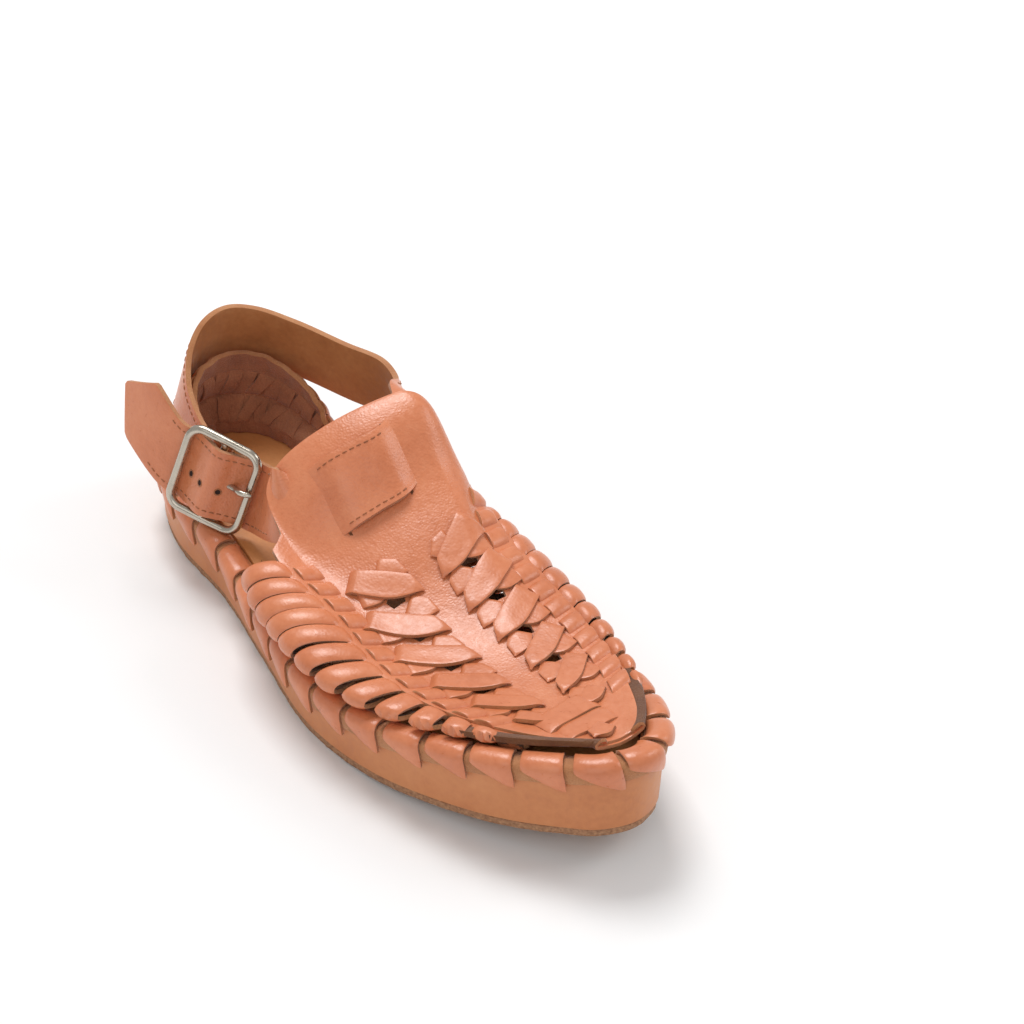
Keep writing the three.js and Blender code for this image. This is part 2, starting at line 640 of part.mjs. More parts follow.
// The strap, or the room it needs with some slack, over its whole length or between two rows
function strapSweep(slack = 0, [from, to] = [0, strapRows.length - 1]) {
  const rows = strapRows.map(strapAcross);
  const columns = strapColumns.map((_, k) => new THREE.CatmullRomCurve3(rows.map((r) => r[k]), false, "centripetal"));
  const last = strapRows.length - 1;
  const half = strapThickness / 2 + slack;
  const rings = [];
  for (let i = from * strapSteps; i <= to * strapSteps; i++) {
    const t = i / (last * strapSteps);
    const points = columns.map((c) => c.getPoint(t));
    const tip = columns[2].getPoint(1).distanceTo(points[2]);
    const taper = t > 1 - 2 / last ? Math.min(1, 0.04 + tip / strapTip) : 1;
    const middle = points[2].clone();
    for (const p of points) p.lerpVectors(middle, p, taper);
    const along = columns[2].getTangent(t);
    const low = [];
    const high = [];
    points.forEach((p, k) => {
      const a = points[Math.max(k - 1, 0)];
      const b = points[Math.min(k + 1, points.length - 1)];
      const up = b.clone().sub(a).normalize();
      const out = along.clone().cross(up).normalize();
      const edge = p.clone().addScaledVector(up, Math.sign(strapColumns[k]) * (Math.abs(strapColumns[k]) === 1 ? slack : 0));
      low.push(edge.clone().addScaledVector(out, -half));
      high.push(edge.clone().addScaledVector(out, half));
    });
    rings.push([...low, ...high.toReversed()]);
  }
  return skin(rings, { strip: true });
}

// Round wire along a path of points
function wireSweep(points, radius, { closed = false, sides = 8 } = {}) {
  const n = points.length;
  const rings = points.map((p, i) => {
    const before = closed ? points[(i + n - 1) % n] : points[Math.max(i - 1, 0)];
    const after = closed ? points[(i + 1) % n] : points[Math.min(i + 1, n - 1)];
    const along = after.clone().sub(before).normalize();
    const side = buckleOut.clone().cross(along).normalize();
    const over = along.clone().cross(side);
    return Array.from({ length: sides }, (_, k) => {
      const a = (2 * Math.PI * (k + 0.5)) / sides;
      return p.clone().addScaledVector(side, Math.cos(a) * radius).addScaledVector(over, Math.sin(a) * radius);
    });
  });
  return skin(rings, { closed });
}

function makeBuckleFrame() {
  const corner = 5;
  const bend = 4;
  const halfLong = (buckleLength - buckleWire) / 2;
  const halfHigh = (buckleHeight - buckleWire) / 2;
  const path = [];
  for (const [sx, sy, turn] of [[1, 1, 0], [-1, 1, 1], [-1, -1, 2], [1, -1, 3]]) {
    for (let i = 0; i <= bend; i++) {
      const a = (Math.PI / 2) * (turn + i / bend);
      const along = sx * (halfLong - corner) + Math.cos(a) * corner;
      path.push(inBuckle(along, sy * (halfHigh - corner) + Math.sin(a) * corner, 0));
    }
  }
  const barRadius = (buckleWire * 0.88) / 2;
  const bar = wireSweep([inBuckle(0, -halfHigh, 0), inBuckle(0, halfHigh, 0)], barRadius, { sides: 7 });
  return wireSweep(path, buckleWire / 2, { closed: true }).add(bar);
}

const prongRadius = prongWire / 2;
const prongPath = [
  { along: buckleWire / 2 + prongRadius + clearance, up: 0, out: -0.5 },
  { along: 6, up: 0.7, out: 0 },
  { along: 9.5, up: 1.4, out: 1.4 },
  { along: 12.5, up: 2, out: buckleWire / 2 + prongRadius + clearance },
  { along: 17, up: 2.8, out: buckleWire / 2 + prongRadius + clearance },
];
const prong = (slack) =>
  wireSweep(prongPath.map((p) => inBuckle(p.along, p.up, p.out)), prongRadius + slack, { sides: 7 });

function makeStrap() {
  return largest(strapSweep().subtract(prong(0.5)));
}

// Heel counter: a wall round the heel, from the rim up and inside the collar
const counterRows = [
  { at: -1, x: -84, y: -20.5, top: 0.42 },
  { at: -0.8, x: -97, y: -18.5, top: 0.5 },
  { at: -0.55, x: -113, y: -15, top: 0.66 },
  { at: -0.3, x: -124, y: -7, top: 0.8 },
  { at: 0, x: -127.5, y: 8, top: 0.86 },
  { at: 0.3, x: -121, y: 21, top: 0.82 },
  { at: 0.55, x: -109, y: 28, top: 0.7 },
  { at: 0.8, x: -98, y: 31, top: 0.54 },
  { at: 1, x: -92, y: 31.5, top: 0.36 },
];
const counterSteps = 4; // columns between two rows
const counterWalk = 60; // how far along the rim it reaches from the back

function counterRing(lift) {
  const { outer, inner } = insetSides(vampInset + 3 * clearance);
  const loop = [...outer.toReversed(), ...inner];
  const back = outer.length - 1;
  const last = (counterRows.length - 1) * counterSteps;
  const columns = Array.from({ length: last + 1 }, (_, i) => {
    const k = Math.min(Math.floor(i / counterSteps), counterRows.length - 2);
    const turn = THREE.MathUtils.lerp(counterRows[k].at, counterRows[k + 1].at, i / counterSteps - k);
    const foot = loop[Math.round(back + (turn * counterWalk * edgeSamples) / perimeter)].clone();
    foot.z = insoleZ(foot.x) + clearance;
    const top = V(readTable(counterRows, "x", turn), readTable(counterRows, "y", turn), 0);
    top.z = rimZ(foot.x) + readTable(counterRows, "top", turn) * counterHeight;
    return { foot, top };
  });
  return columns.map(({ foot, top }, i) => {
    const a = columns[Math.max(i - 1, 0)].foot;
    const b = columns[Math.min(i + 1, columns.length - 1)].foot;
    const out = V(a.y - b.y, b.x - a.x, 0).normalize();
    const knee = V(foot.x, foot.y, rimZ(foot.x) + laceTop + kneeLift);
    const rise = top.z - knee.z;
    const belly = knee.clone().addScaledVector(out, 9).add(V(0, 0, rise * 0.3));
    const neck = top.clone().addScaledVector(out, 3.5).add(V(0, 0, -rise * 0.4));
    const line = new THREE.CubicBezierCurve3(knee, belly, neck, top);
    return [foot, ...line.getPoints(4)].map((p) => p.clone().addScaledVector(out, lift));
  });
}

function makeCounter() {
  const outside = counterRing(counterWall / 2);
  const inside = counterRing(-counterWall / 2);
  const rings = outside.map((column, i) => [...column, ...inside[i].toReversed()]);
  return largest(skin(rings).subtract(strapSweep(clearance, [0, 15])));
}

const leather = "#d98e68";
const part = new THREE.Group();
part.add(toMesh("outsole", makeOutsole(), "#a06a48", 0.8));
part.add(toMesh("midsole", makeMidsole(), "#c28558", 0.6));
part.add(toMesh("insole", makeInsole(), "#b97340", 0.5));
part.add(toMesh("edge_lacing", makeEdgeLacing(), leather, 0.5));
part.add(toMesh("vamp", makeVamp(), leather, 0.5));
part.add(toMesh("heel_counter", makeCounter(), leather, 0.6));
part.add(toMesh("ankle_strap", makeStrap(), leather, 0.5));
part.add(toMesh("buckle_frame", makeBuckleFrame(), "#a9a195", 0.3, 1));
part.add(toMesh("buckle_prong", prong(0), "#a9a195", 0.3, 1));

export default part;
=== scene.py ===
import bpy
import math
import numpy as np
from mathutils import Matrix, Vector


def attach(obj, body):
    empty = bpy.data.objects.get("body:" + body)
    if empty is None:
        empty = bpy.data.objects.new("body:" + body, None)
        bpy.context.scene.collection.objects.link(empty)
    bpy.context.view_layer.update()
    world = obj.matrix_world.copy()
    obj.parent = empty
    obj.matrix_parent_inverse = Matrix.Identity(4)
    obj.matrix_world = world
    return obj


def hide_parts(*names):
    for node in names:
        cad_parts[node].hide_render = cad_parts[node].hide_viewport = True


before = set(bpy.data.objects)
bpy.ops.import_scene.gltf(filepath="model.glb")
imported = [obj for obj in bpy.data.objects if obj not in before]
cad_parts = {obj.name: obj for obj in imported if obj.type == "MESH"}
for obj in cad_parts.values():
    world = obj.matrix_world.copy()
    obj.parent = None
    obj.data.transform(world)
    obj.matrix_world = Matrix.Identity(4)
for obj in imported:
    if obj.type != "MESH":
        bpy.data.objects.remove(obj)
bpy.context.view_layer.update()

# Huarache sandal for the right foot, dressed over its CAD frame.
# Shapes are worked out in millimetres in the frame's own axes: +X toe, +Y inner side, +Z up.
mm = 0.001

sole = {
    "length": 277, "ball": 95, "platform": 24, "toeSpring": 13, "springStart": 0.61,
    "heelRecess": 0.8, "toeRecess": 5, "heelMiddle": 0.015, "toeMiddle": 0.063, "footbedInset": 8.1,
    "clearance": 0.3, "insole": 1.6,
    "outline": [(0.038, 0.215, 0.255), (0.134, 0.337, 0.368), (0.283, 0.371, 0.309), (0.428, 0.453, 0.29),
                (0.572, 0.529, 0.4), (0.711, 0.495, 0.473), (0.812, 0.4, 0.44), (0.888, 0.295, 0.374),
                (0.949, 0.168, 0.284), (0.985, 0.07, 0.188)],
    "profile": [(0, 1, 0), (0.225, 0.92, 0), (0.334, 0.83, 0), (0.464, 0.77, 0.1), (0.6, 0.855, 0.6),
                (0.735, 0.985, 1), (0.857, 1.12, 1), (1, 1.25, 1)],
}


# Reading tables and curves

def tableAt(rows, column, at):
    last = len(rows) - 1
    if at <= rows[0][0]:
        return rows[0][column]
    if at >= rows[last][0]:
        return rows[last][column]
    i = 0
    while rows[i + 1][0] < at:
        i += 1
    a, b = rows[i], rows[i + 1]
    span = b[0] - a[0]
    t = (at - a[0]) / span

    def slope(k):
        if k <= 0 or k >= last:
            return (b[column] - a[column]) / span
        return (rows[k + 1][column] - rows[k - 1][column]) / (rows[k + 1][0] - rows[k - 1][0])

    return ((2 * t ** 3 - 3 * t ** 2 + 1) * a[column] + (t ** 3 - 2 * t ** 2 + t) * span * slope(i)
            + (3 * t ** 2 - 2 * t ** 3) * b[column] + (t ** 3 - t ** 2) * span * slope(i + 1))


def curveOf(rows, column):  # a table's column as a function that takes arrays
    ats = np.linspace(rows[0][0], rows[-1][0], 500)
    values = np.array([tableAt(rows, column, at) for at in ats])
    return lambda at: np.interp(at, ats, values)


def throughPoints(points, closed, count):  # centripetal spline through points, count samples in t
    points = np.array(points, float)
    n = len(points)
    spans = n if closed else n - 1
    samples = []

    def pick(k):
        if closed:
            return points[k % n]
        if k < 0:
            return 2 * points[0] - points[1]
        return 2 * points[-1] - points[-2] if k >= n else points[k]

    for s in range(count):
        p = spans * s / (count if closed else count - 1)
        i = min(int(p), spans - 1)
        w = p - i
        p0, p1, p2, p3 = pick(i - 1), pick(i), pick(i + 1), pick(i + 2)
        d0, d1, d2 = [max(float(np.dot(b - a, b - a)), 1e-8) ** 0.25 for a,
                      b in ((p0, p1), (p1, p2), (p2, p3))]
        m1 = ((p1 - p0) / d0 - (p2 - p0) / (d0 + d1) + (p2 - p1) / d1) * d1
        m2 = ((p2 - p1) / d1 - (p3 - p1) / (d1 + d2) + (p3 - p2) / d2) * d1
        bend, twist = -3 * p1 + 3 * p2 - 2 * m1 - m2, 2 * p1 - 2 * p2 + m1 + m2
        samples.append(p1 + m1 * w + bend * w ** 2 + twist * w ** 3)
    return np.array(samples)


def outlineLoop():
    half, ball = sole["length"] / 2, sole["ball"]
    place = lambda at: (at - 0.5) * sole["length"]
    points = [(-half, sole["heelMiddle"] * ball)]
    points += [(place(at), -outer * ball) for at, outer, inner in sole["outline"]]
    points += [(half, sole["toeMiddle"] * ball)]
    points += [(place(at), inner * ball) for at, outer, inner in reversed(sole["outline"])]
    loop = throughPoints(points, True, 6000)
    loop = np.vstack([loop, loop[:1]])
    walked = np.concatenate([[0], np.cumsum(np.linalg.norm(np.diff(loop, axis=0), axis=1))])
    even = np.linspace(0, walked[-1], 1801)
    return np.stack([np.interp(even, walked, loop[:, k]) for k in (0, 1)], 1)[:-1], walked[-1]


rimLoop, rimLength = outlineLoop()
alongLoop = np.roll(rimLoop, -1, 0) - np.roll(rimLoop, 1, 0)
alongLoop /= np.linalg.norm(alongLoop, axis=1)[:, None]
outLoop = np.stack([alongLoop[:, 1], -alongLoop[:, 0]], 1)

thickAt = curveOf(sole["profile"], 1)
recessAt = curveOf(sole["profile"], 2)
share = lambda x: np.asarray(x) / sole["length"] + 0.5
stationX = lambda at: (at - 0.5) * sole["length"]


def bottomZ(x):
    return sole["toeSpring"] * np.maximum(0,
                                          (share(x) - sole["springStart"]) / (1 - sole["springStart"])) ** 1.5


def rimZ(x):
    return bottomZ(x) + sole["platform"] * thickAt(share(x))


def footbedZ(x):
    return rimZ(x) - (sole["heelRecess"] + (sole["toeRecess"] - sole["heelRecess"]) * recessAt(share(x)))


def insoleZ(x):
    return footbedZ(x) + sole["clearance"] + sole["insole"]


def insetLoop(inset):
    return rimLoop - outLoop * inset


def sideCurve(inset, side):  # y of one side of the outline, moved in, as a function of x
    loop = insetLoop(inset)
    tip = int(np.argmax(rimLoop[:, 0]))
    line = loop[:tip + 1] if side == "outer" else np.vstack([loop[tip:], loop[:1]])[::-1]
    xs = np.maximum.accumulate(line[:, 0])
    return lambda x: np.interp(x, xs, line[:, 1])


def ringAt(inset, height, count=240):
    loop = insetLoop(inset)[::max(1, len(rimLoop) // count)]
    return np.column_stack([loop, height(loop[:, 0])])


# The vamp's surface, the same one as the CAD vamp is made from

vamp = {
    "inset": 9.7, "instep": 60, "wall": 1.8, "kneeUp": 6.1, "kneeShare": 0.08, "jointShare": 0.36,
    "smoothing": 0.35, "front": 0.955,
    "ridge": [(0.283, 0.3, 1.02), (0.377, 0.315, 1.01), (0.446, 0.31, 0.77), (0.514, 0.28, 0.6),
              (0.565, 0.23, 0.47), (0.63, 0.21, 0.345), (0.695, 0.16, 0.225), (0.76, 0.125, 0.15),
              (0.829, 0.085, 0.1), (0.897, 0.074, 0.08), (0.951, 0.063, 0.062)],
    # at, a, b, bz, jointY, jointZ, reach, top
    "outer": [(0.283, 0.18, 0.18, 0.6, 0.263, 0.55, 0.47, 0.9),
              (0.377, 0.19, 0.185, 0.46, 0.284, 0.42, 0.44, 0.84),
              (0.446, 0.23, 0.22, 0.455, 0.295, 0.35, 0.34, 0.62),
              (0.514, 0.22, 0.19, 0.44, 0.284, 0.3, 0.31, 0.49),
              (0.565, 0.2, 0.185, 0.39, 0.284, 0.25, 0.25, 0.36),
              (0.63, 0.19, 0.175, 0.32, 0.295, 0.193, 0.25, 0.24),
              (0.695, 0.158, 0.14, 0.24, 0.289, 0.145, 0.25, 0.14),
              (0.76, 0.126, 0.115, 0.187, 0.263, 0.12, 0.22, 0.1),
              (0.829, 0.095, 0.085, 0.15, 0.21, 0.107, 0.16, 0.08),
              (0.897, 0.063, 0.055, 0.13, 0.132, 0.102, 0.1, 0.08),
              (0.951, 0.03, 0.025, 0.12, 0.042, 0.102, 0.04, 0.065)],
    "inner": [(0.283, 0.23, 0.24, 0.38, 0.442, 0.585, 0.15, 1.08),
              (0.377, 0.263, 0.27, 0.38, 0.442, 0.597, 0.14, 1.08),
              (0.446, 0.295, 0.285, 0.39, 0.442, 0.59, 0.1, 0.75),
              (0.514, 0.326, 0.326, 0.44, 0.39, 0.517, 0.06, 0.62),
              (0.565, 0.305, 0.316, 0.385, 0.368, 0.435, 0.07, 0.49),
              (0.63, 0.263, 0.263, 0.327, 0.374, 0.343, 0.09, 0.36),
              (0.695, 0.2, 0.195, 0.265, 0.379, 0.248, 0.12, 0.235),
              (0.76, 0.147, 0.147, 0.2, 0.363, 0.178, 0.14, 0.16),
              (0.829, 0.105, 0.105, 0.16, 0.316, 0.132, 0.14, 0.105),
              (0.897, 0.068, 0.066, 0.135, 0.237, 0.107, 0.1, 0.085),
              (0.951, 0.03, 0.028, 0.12, 0.153, 0.102, 0.05, 0.065)],
    "rear": [(-1, 0.335), (-0.92, 0.355), (-0.855, 0.372), (-0.785, 0.392), (-0.715, 0.415), (-0.65, 0.388),
             (-0.6, 0.345), (-0.52, 0.318), (-0.36, 0.31), (-0.16, 0.325), (0.05, 0.355), (0.2, 0.378),
             (0.34, 0.41), (0.52, 0.462), (0.65, 0.455), (0.715, 0.437), (0.785, 0.418), (0.855, 0.398),
             (0.92, 0.375), (1, 0.35)],
}
ridgeAt = [curveOf(vamp["ridge"], k) for k in (1, 2)]
flankAt = {name: [curveOf(vamp[name], k) for k in range(1, 8)] for name in ("outer", "inner")}
footAt = {name: sideCurve(vamp["inset"], name) for name in ("outer", "inner")}
rearAt = curveOf(vamp["rear"], 1)


def cubic(a, b, c, d, t):
    t = t[..., None]
    return a * (1 - t) ** 3 + 3 * b * t * (1 - t) ** 2 + 3 * c * t ** 2 * (1 - t) + d * t ** 3


def vampPoint(x, across):
    x, across = np.broadcast_arrays(np.asarray(x, float), np.asarray(across, float))
    at, outer = share(x), across < 0
    side = np.where(outer, -1.0, 1.0)
    a, b, bz, jointY, jointZ, reach, top = [
        np.where(outer, flankAt["outer"][k](at), flankAt["inner"][k](at)) for k in range(7)]
    rim, ball, instep = rimZ(x), sole["ball"], vamp["instep"]
    footY = np.where(outer, footAt["outer"](x), footAt["inner"](x))
    place = lambda y, z: np.stack([x, y, z], -1)
    foot = place(footY, insoleZ(x) + sole["clearance"])
    knee = place(footY, rim + vamp["kneeUp"])
    swell = place(footY + side * a * ball, rim + vamp["kneeUp"])
    handle = place(footY + side * b * ball, rim + bz * instep)
    joint = place(side * jointY * ball, rim + jointZ * instep)
    ridge = place(ridgeAt[0](at) * ball, rim + ridgeAt[1](at) * instep)
    crown = place(ridge[..., 1] + side * reach * ball, rim + top * instep)
    lead = joint + (joint - handle) * vamp["smoothing"]
    way = 1 - np.abs(across)
    low = np.clip(way / vamp["kneeShare"], 0, 1)
    middle = np.clip((way - vamp["kneeShare"]) / (vamp["jointShare"] - vamp["kneeShare"]), 0, 1)
    high = np.clip((way - vamp["jointShare"]) / (1 - vamp["jointShare"]), 0, 1)
    first = foot + (knee - foot) * low[..., None]
    second = cubic(knee, swell, handle, joint, middle)
    third = cubic(joint, lead, crown, ridge, high)
    near = (way < vamp["kneeShare"])[..., None]
    mid = (way < vamp["jointShare"])[..., None]
    return np.where(near, first, np.where(mid, second, third))


def vampAt(x, across, lift=0.0):
    x, across, lift = np.broadcast_arrays(np.asarray(x, float), np.asarray(across, float),
                                          np.asarray(lift, float))
    dx = vampPoint(x + 0.8, across) - vampPoint(x - 0.8, across)
    dy = vampPoint(x, np.clip(across + 0.02, -0.999, 0.999)) - vampPoint(x,
                                                                         np.clip(across - 0.02, -0.999,
                                                                                 0.999))
    normal = np.cross(dx, dy)
    normal /= np.maximum(np.linalg.norm(normal, axis=-1, keepdims=True), 1e-9)
    return vampPoint(x, across) + normal * lift[..., None]


def acrossAt(x, y):  # the way across the vamp at which it reaches a given y
    x, y = np.broadcast_arrays(np.asarray(x, float), np.asarray(y, float))
    low, high = np.full(x.shape, -0.9), np.full(x.shape, 0.9)
    for _ in range(22):
        middle = (low + high) / 2
        over = (middle > 0.62) | (vampPoint(x, middle)[..., 1] > y)
        high, low = np.where(over, middle, high), np.where(over, low, middle)
    return (low + high) / 2


def overVamp(x, y, lift):
    return vampAt(x, acrossAt(x, y), lift)


# Meshes

def activate(piece):
    bpy.ops.object.select_all(action="DESELECT")
    piece.select_set(True)
    bpy.context.view_layer.objects.active = piece


def applyAll(piece):
    activate(piece)
    for modifier in list(piece.modifiers):
        bpy.ops.object.modifier_apply(modifier=modifier.name)


def meshPiece(name, points, faces, materials):
    mesh = bpy.data.meshes.new(name)
    mesh.from_pydata((np.asarray(points) * mm).tolist(), [], faces)
    mesh.update()
    piece = bpy.data.objects.new(name, mesh)
    bpy.context.scene.collection.objects.link(piece)
    for material in materials:
        mesh.materials.append(material)
    return piece


def gridFaces(rows, columns, base=0):
    starts = (base + i * columns + j for i in range(rows - 1) for j in range(columns - 1))
    return [(a, a + 1, a + columns + 1, a + columns) for a in starts]


def tubeFaces(rings, sides, base=0, closed=False, startCap=True, endCap=True):
    faces = []
    for r in range(rings if closed else rings - 1):
        for k in range(sides):
            a, b = r * sides, (r + 1) % rings * sides
            faces.append((base + a + k, base + a + (k + 1) % sides, base + b + (k + 1) % sides, base + b + k))
    if startCap and not closed:
        faces.append(tuple(base + k for k in reversed(range(sides))))
    if endCap and not closed:
        faces.append(tuple(base + (rings - 1) * sides + k for k in range(sides)))
    return faces


def turnOutward(piece):
    activate(piece)
    bpy.ops.object.mode_set(mode="EDIT")
    bpy.ops.mesh.select_all(action="SELECT")
    bpy.ops.mesh.normals_make_consistent(inside=False)
    bpy.ops.object.mode_set(mode="OBJECT")


def addWall(piece, thick, bevel, segments=2, back=2):  # thickness behind the face, then rounded cut edges
    wall = piece.modifiers.new("Leather", "SOLIDIFY")
    wall.thickness = thick * mm
    wall.offset = -1
    wall.material_offset_rim = 1
    wall.material_offset = back
    if bevel:
        edge = piece.modifiers.new("Cut edge", "BEVEL")
        edge.width = bevel * mm
        edge.segments = segments
        edge.limit_method = "ANGLE"
        edge.angle_limit = math.radians(55)


def finishPiece(piece, nodes, angle=40):
    activate(piece)
    bpy.ops.object.shade_smooth_by_angle(angle=math.radians(angle))
    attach(piece, "root")
    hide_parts(*nodes)
    return piece


# Leather laid on grids of points: face, cut edge and back have their own materials
def layLeather(name, grids, inside, thick, materials, bevel=0.3):
    points, faces, base = [], [], 0
    for grid in grids:
        rows, columns, _ = grid.shape
        r, c = rows // 2, columns // 2
        r, c = min(r, rows - 2), min(c, columns - 2)
        normal = np.cross(grid[r, c + 1] - grid[r, c], grid[r + 1, c] - grid[r, c])
        centre = grid[r, c]
        hint = centre - np.array(inside(centre))
        if np.dot(normal, hint) < 0:
            grid = grid[:, ::-1]
        points.append(grid.reshape(-1, 3))
        faces += gridFaces(rows, columns, base)
        base += rows * columns
    piece = meshPiece(name, np.vstack(points), faces, materials)
    addWall(piece, thick, bevel, back=2 if len(materials) > 2 else 0)
    applyAll(piece)
    return piece


def ringPiece(name, rings, material):
    faces = tubeFaces(len(rings), len(rings[0]))
    return meshPiece(name, np.vstack(rings), faces, [material])


# Materials

def toLinear(hexColour):
    channels = [int(hexColour[i:i + 2], 16) / 255 for i in (1, 3, 5)]
    return tuple(c / 12.92 if c <= 0.04045 else ((c + 0.055) / 1.055) ** 2.4 for c in channels) + (1.0,)


def addNode(tree, kind, settings=None, inputs=None, links=None):
    node = tree.nodes.new(kind)
    for key, value in (settings or {}).items():
        setattr(node, key, value)
    for key, value in (inputs or {}).items():
        node.inputs[key].default_value = value
    for key, source in (links or {}).items():
        tree.links.new(source, node.inputs[key])
    return node


def perMillimetre(size):  # pattern scale on object coordinates for a feature of this many millimetres
    return 1000 / size


def noiseOf(tree, coords, size, detail, **more):  # noise with features of this many millimetres
    inputs = {"Scale": perMillimetre(size), "Detail": detail, **more}
    return addNode(tree, "ShaderNodeTexNoise", inputs=inputs, links={"Vector": coords}).outputs["Fac"]


def newMaterial(name):
    material = bpy.data.materials.new(name)
    material.use_nodes = True
    tree = material.node_tree
    surface = tree.nodes["Principled BSDF"]
    coords = addNode(tree, "ShaderNodeTexCoord").outputs["Object"]
    return material, tree, surface, coords


def rampOf(tree, factor, stops):
    ramp = addNode(tree, "ShaderNodeValToRGB", links={"Fac": factor})
    elements = ramp.color_ramp.elements
    elements[0].position, elements[0].color = stops[0][0], toLinear(stops[0][1])
    elements[1].position, elements[1].color = stops[-1][0], toLinear(stops[-1][1])
    for place, colour in stops[1:-1]:
        elements.new(place).color = toLinear(colour)
    return ramp.outputs["Color"]


# Vegetable-tanned cowhide, aniline dyed and drum-milled: uneven warm tan, a fine pebble, a soft gloss
def leatherMaterial(name, stops, roughness, pebble, depth, crease=9.0, gloss=0.12):
    material, tree, surface, coords = newMaterial(name)
    cloud = noiseOf(tree, coords, 26, 5.0, Roughness=0.6)
    fleck = noiseOf(tree, coords, 2.2, 3.0)
    blend = addNode(tree, "ShaderNodeMix", {"data_type": "FLOAT"}, {"Factor": 0.3},
                    {"A": cloud, "B": fleck})
    colour = rampOf(tree, blend.outputs["Result"], stops)
    tree.links.new(colour, surface.inputs["Base Color"])
    shine = addNode(tree, "ShaderNodeMapRange",
                    inputs={"From Min": 0.3, "From Max": 0.7, "To Min": roughness - 0.07,
                                                       "To Max": roughness + 0.1},
                    links={"Value": fleck})
    tree.links.new(shine.outputs["Result"], surface.inputs["Roughness"])
    cells = addNode(tree, "ShaderNodeTexVoronoi", {"feature": "SMOOTH_F1"},
                    {"Scale": perMillimetre(pebble), "Smoothness": 0.6, "Randomness": 1.0},
                    {"Vector": coords})
    folds = noiseOf(tree, coords, crease, 4.0, Distortion=0.4)
    grain = addNode(tree, "ShaderNodeBump", inputs={"Strength": depth, "Distance": 0.00025},
                    links={"Height": cells.outputs["Distance"]})
    soft = addNode(tree, "ShaderNodeBump", inputs={"Strength": 0.35, "Distance": 0.0009},
                   links={"Height": folds, "Normal": grain.outputs["Normal"]})
    tree.links.new(soft.outputs["Normal"], surface.inputs["Normal"])
    surface.inputs["IOR"].default_value = 1.5
    surface.inputs["Coat Weight"].default_value = gloss
    surface.inputs["Coat Roughness"].default_value = 0.32
    return material


# Raw flesh side and knife-cut edges: matt, fibrous, paler than the dyed grain
def fibreMaterial(name, stops, fibre=0.5, depth=0.7):
    material, tree, surface, coords = newMaterial(name)
    fuzz = noiseOf(tree, coords, fibre, 5.0, Roughness=0.7)
    patch = noiseOf(tree, coords, 9, 3.0)
    blend = addNode(tree, "ShaderNodeMix", {"data_type": "FLOAT"}, {"Factor": 0.5},
                    {"A": fuzz, "B": patch})
    tree.links.new(rampOf(tree, blend.outputs["Result"], stops), surface.inputs["Base Color"])
    rough = addNode(tree, "ShaderNodeBump", inputs={"Strength": depth, "Distance": 0.0006},
                    links={"Height": fuzz})
    tree.links.new(rough.outputs["Normal"], surface.inputs["Normal"])
    surface.inputs["Roughness"].default_value = 0.88
    surface.inputs["Sheen Weight"].default_value = 0.25
    surface.inputs["Sheen Roughness"].default_value = 0.5
    return material


# Nickel-plated steel wire, tumbled dull: grey-gold with fine scuffs
def nickelMaterial(name):
    material, tree, surface, coords = newMaterial(name)
    scuff = noiseOf(tree, coords, 5, 6.0, Roughness=0.6)
    tree.links.new(rampOf(tree, scuff, [(0.3, "#B0A698"), (0.7, "#C4BBAD")]),
                   surface.inputs["Base Color"])
    shine = addNode(tree, "ShaderNodeMapRange",
                    inputs={"From Min": 0.35, "From Max": 0.7, "To Min": 0.18, "To Max": 0.32},
                    links={"Value": scuff})
    tree.links.new(shine.outputs["Result"], surface.inputs["Roughness"])
    surface.inputs["Metallic"].default_value = 1.0
    return material


# Crepe rubber sheet with a moulded rib under it: matt brown
def rubberMaterial(name):
    material, tree, surface, coords = newMaterial(name)
    speck = noiseOf(tree, coords, 1.1, 5.0)
    tree.links.new(rampOf(tree, speck, [(0.3, "#8A6044"), (0.7, "#B98A66")]),
                   surface.inputs["Base Color"])
    ribs = addNode(tree, "ShaderNodeTexWave",
                   {"wave_type": "BANDS", "bands_direction": "DIAGONAL", "wave_profile": "SIN"},
                   {"Scale": perMillimetre(14), "Distortion": 0.0}, {"Vector": coords})
    low = addNode(tree, "ShaderNodeBump", inputs={"Strength": 0.5, "Distance": 0.001},
                  links={"Height": ribs.outputs["Fac"]})
    rough = addNode(tree, "ShaderNodeBump", inputs={"Strength": 0.6, "Distance": 0.0004},
                    links={"Height": speck, "Normal": low.outputs["Normal"]})
    tree.links.new(rough.outputs["Normal"], surface.inputs["Normal"])
    surface.inputs["Roughness"].default_value = 0.8
    return material


grainLeather = leatherMaterial("milledCowhide", [(0.3, "#C87248"), (0.5, "#D47E54"), (0.7, "#DC8A60")], 0.34,
                               0.9, 0.45, 9.0, 0.3)
weaveLeather = leatherMaterial("wovenCowhide", [(0.3, "#C57047"), (0.5, "#D27C52"), (0.7, "#DB885E")], 0.34,
                               1.1, 0.25, 9.0, 0.26)
liningLeather = leatherMaterial("tanLining", [(0.3, "#A3683C"), (0.5, "#B87A4A"), (0.7, "#C88C5A")], 0.5, 1.6,
                                0.3, 7.0, 0.02)
wallLeather = leatherMaterial("soleWallLeather", [(0.3, "#BC7042"), (0.5, "#CA804E"), (0.7, "#D28C5A")], 0.48,
                              1.3, 0.12, 22.0, 0.08)
insoleLeather = leatherMaterial("insoleCowhide", [(0.3, "#C67E44"), (0.5, "#D38C52"), (0.7, "#DC9A60")], 0.5,
                                1.2, 0.2, 14.0, 0.05)
cutEdge = fibreMaterial("cutLeatherEdge", [(0.25, "#A8683F"), (0.5, "#BF8052"), (0.75, "#D19A6C")])
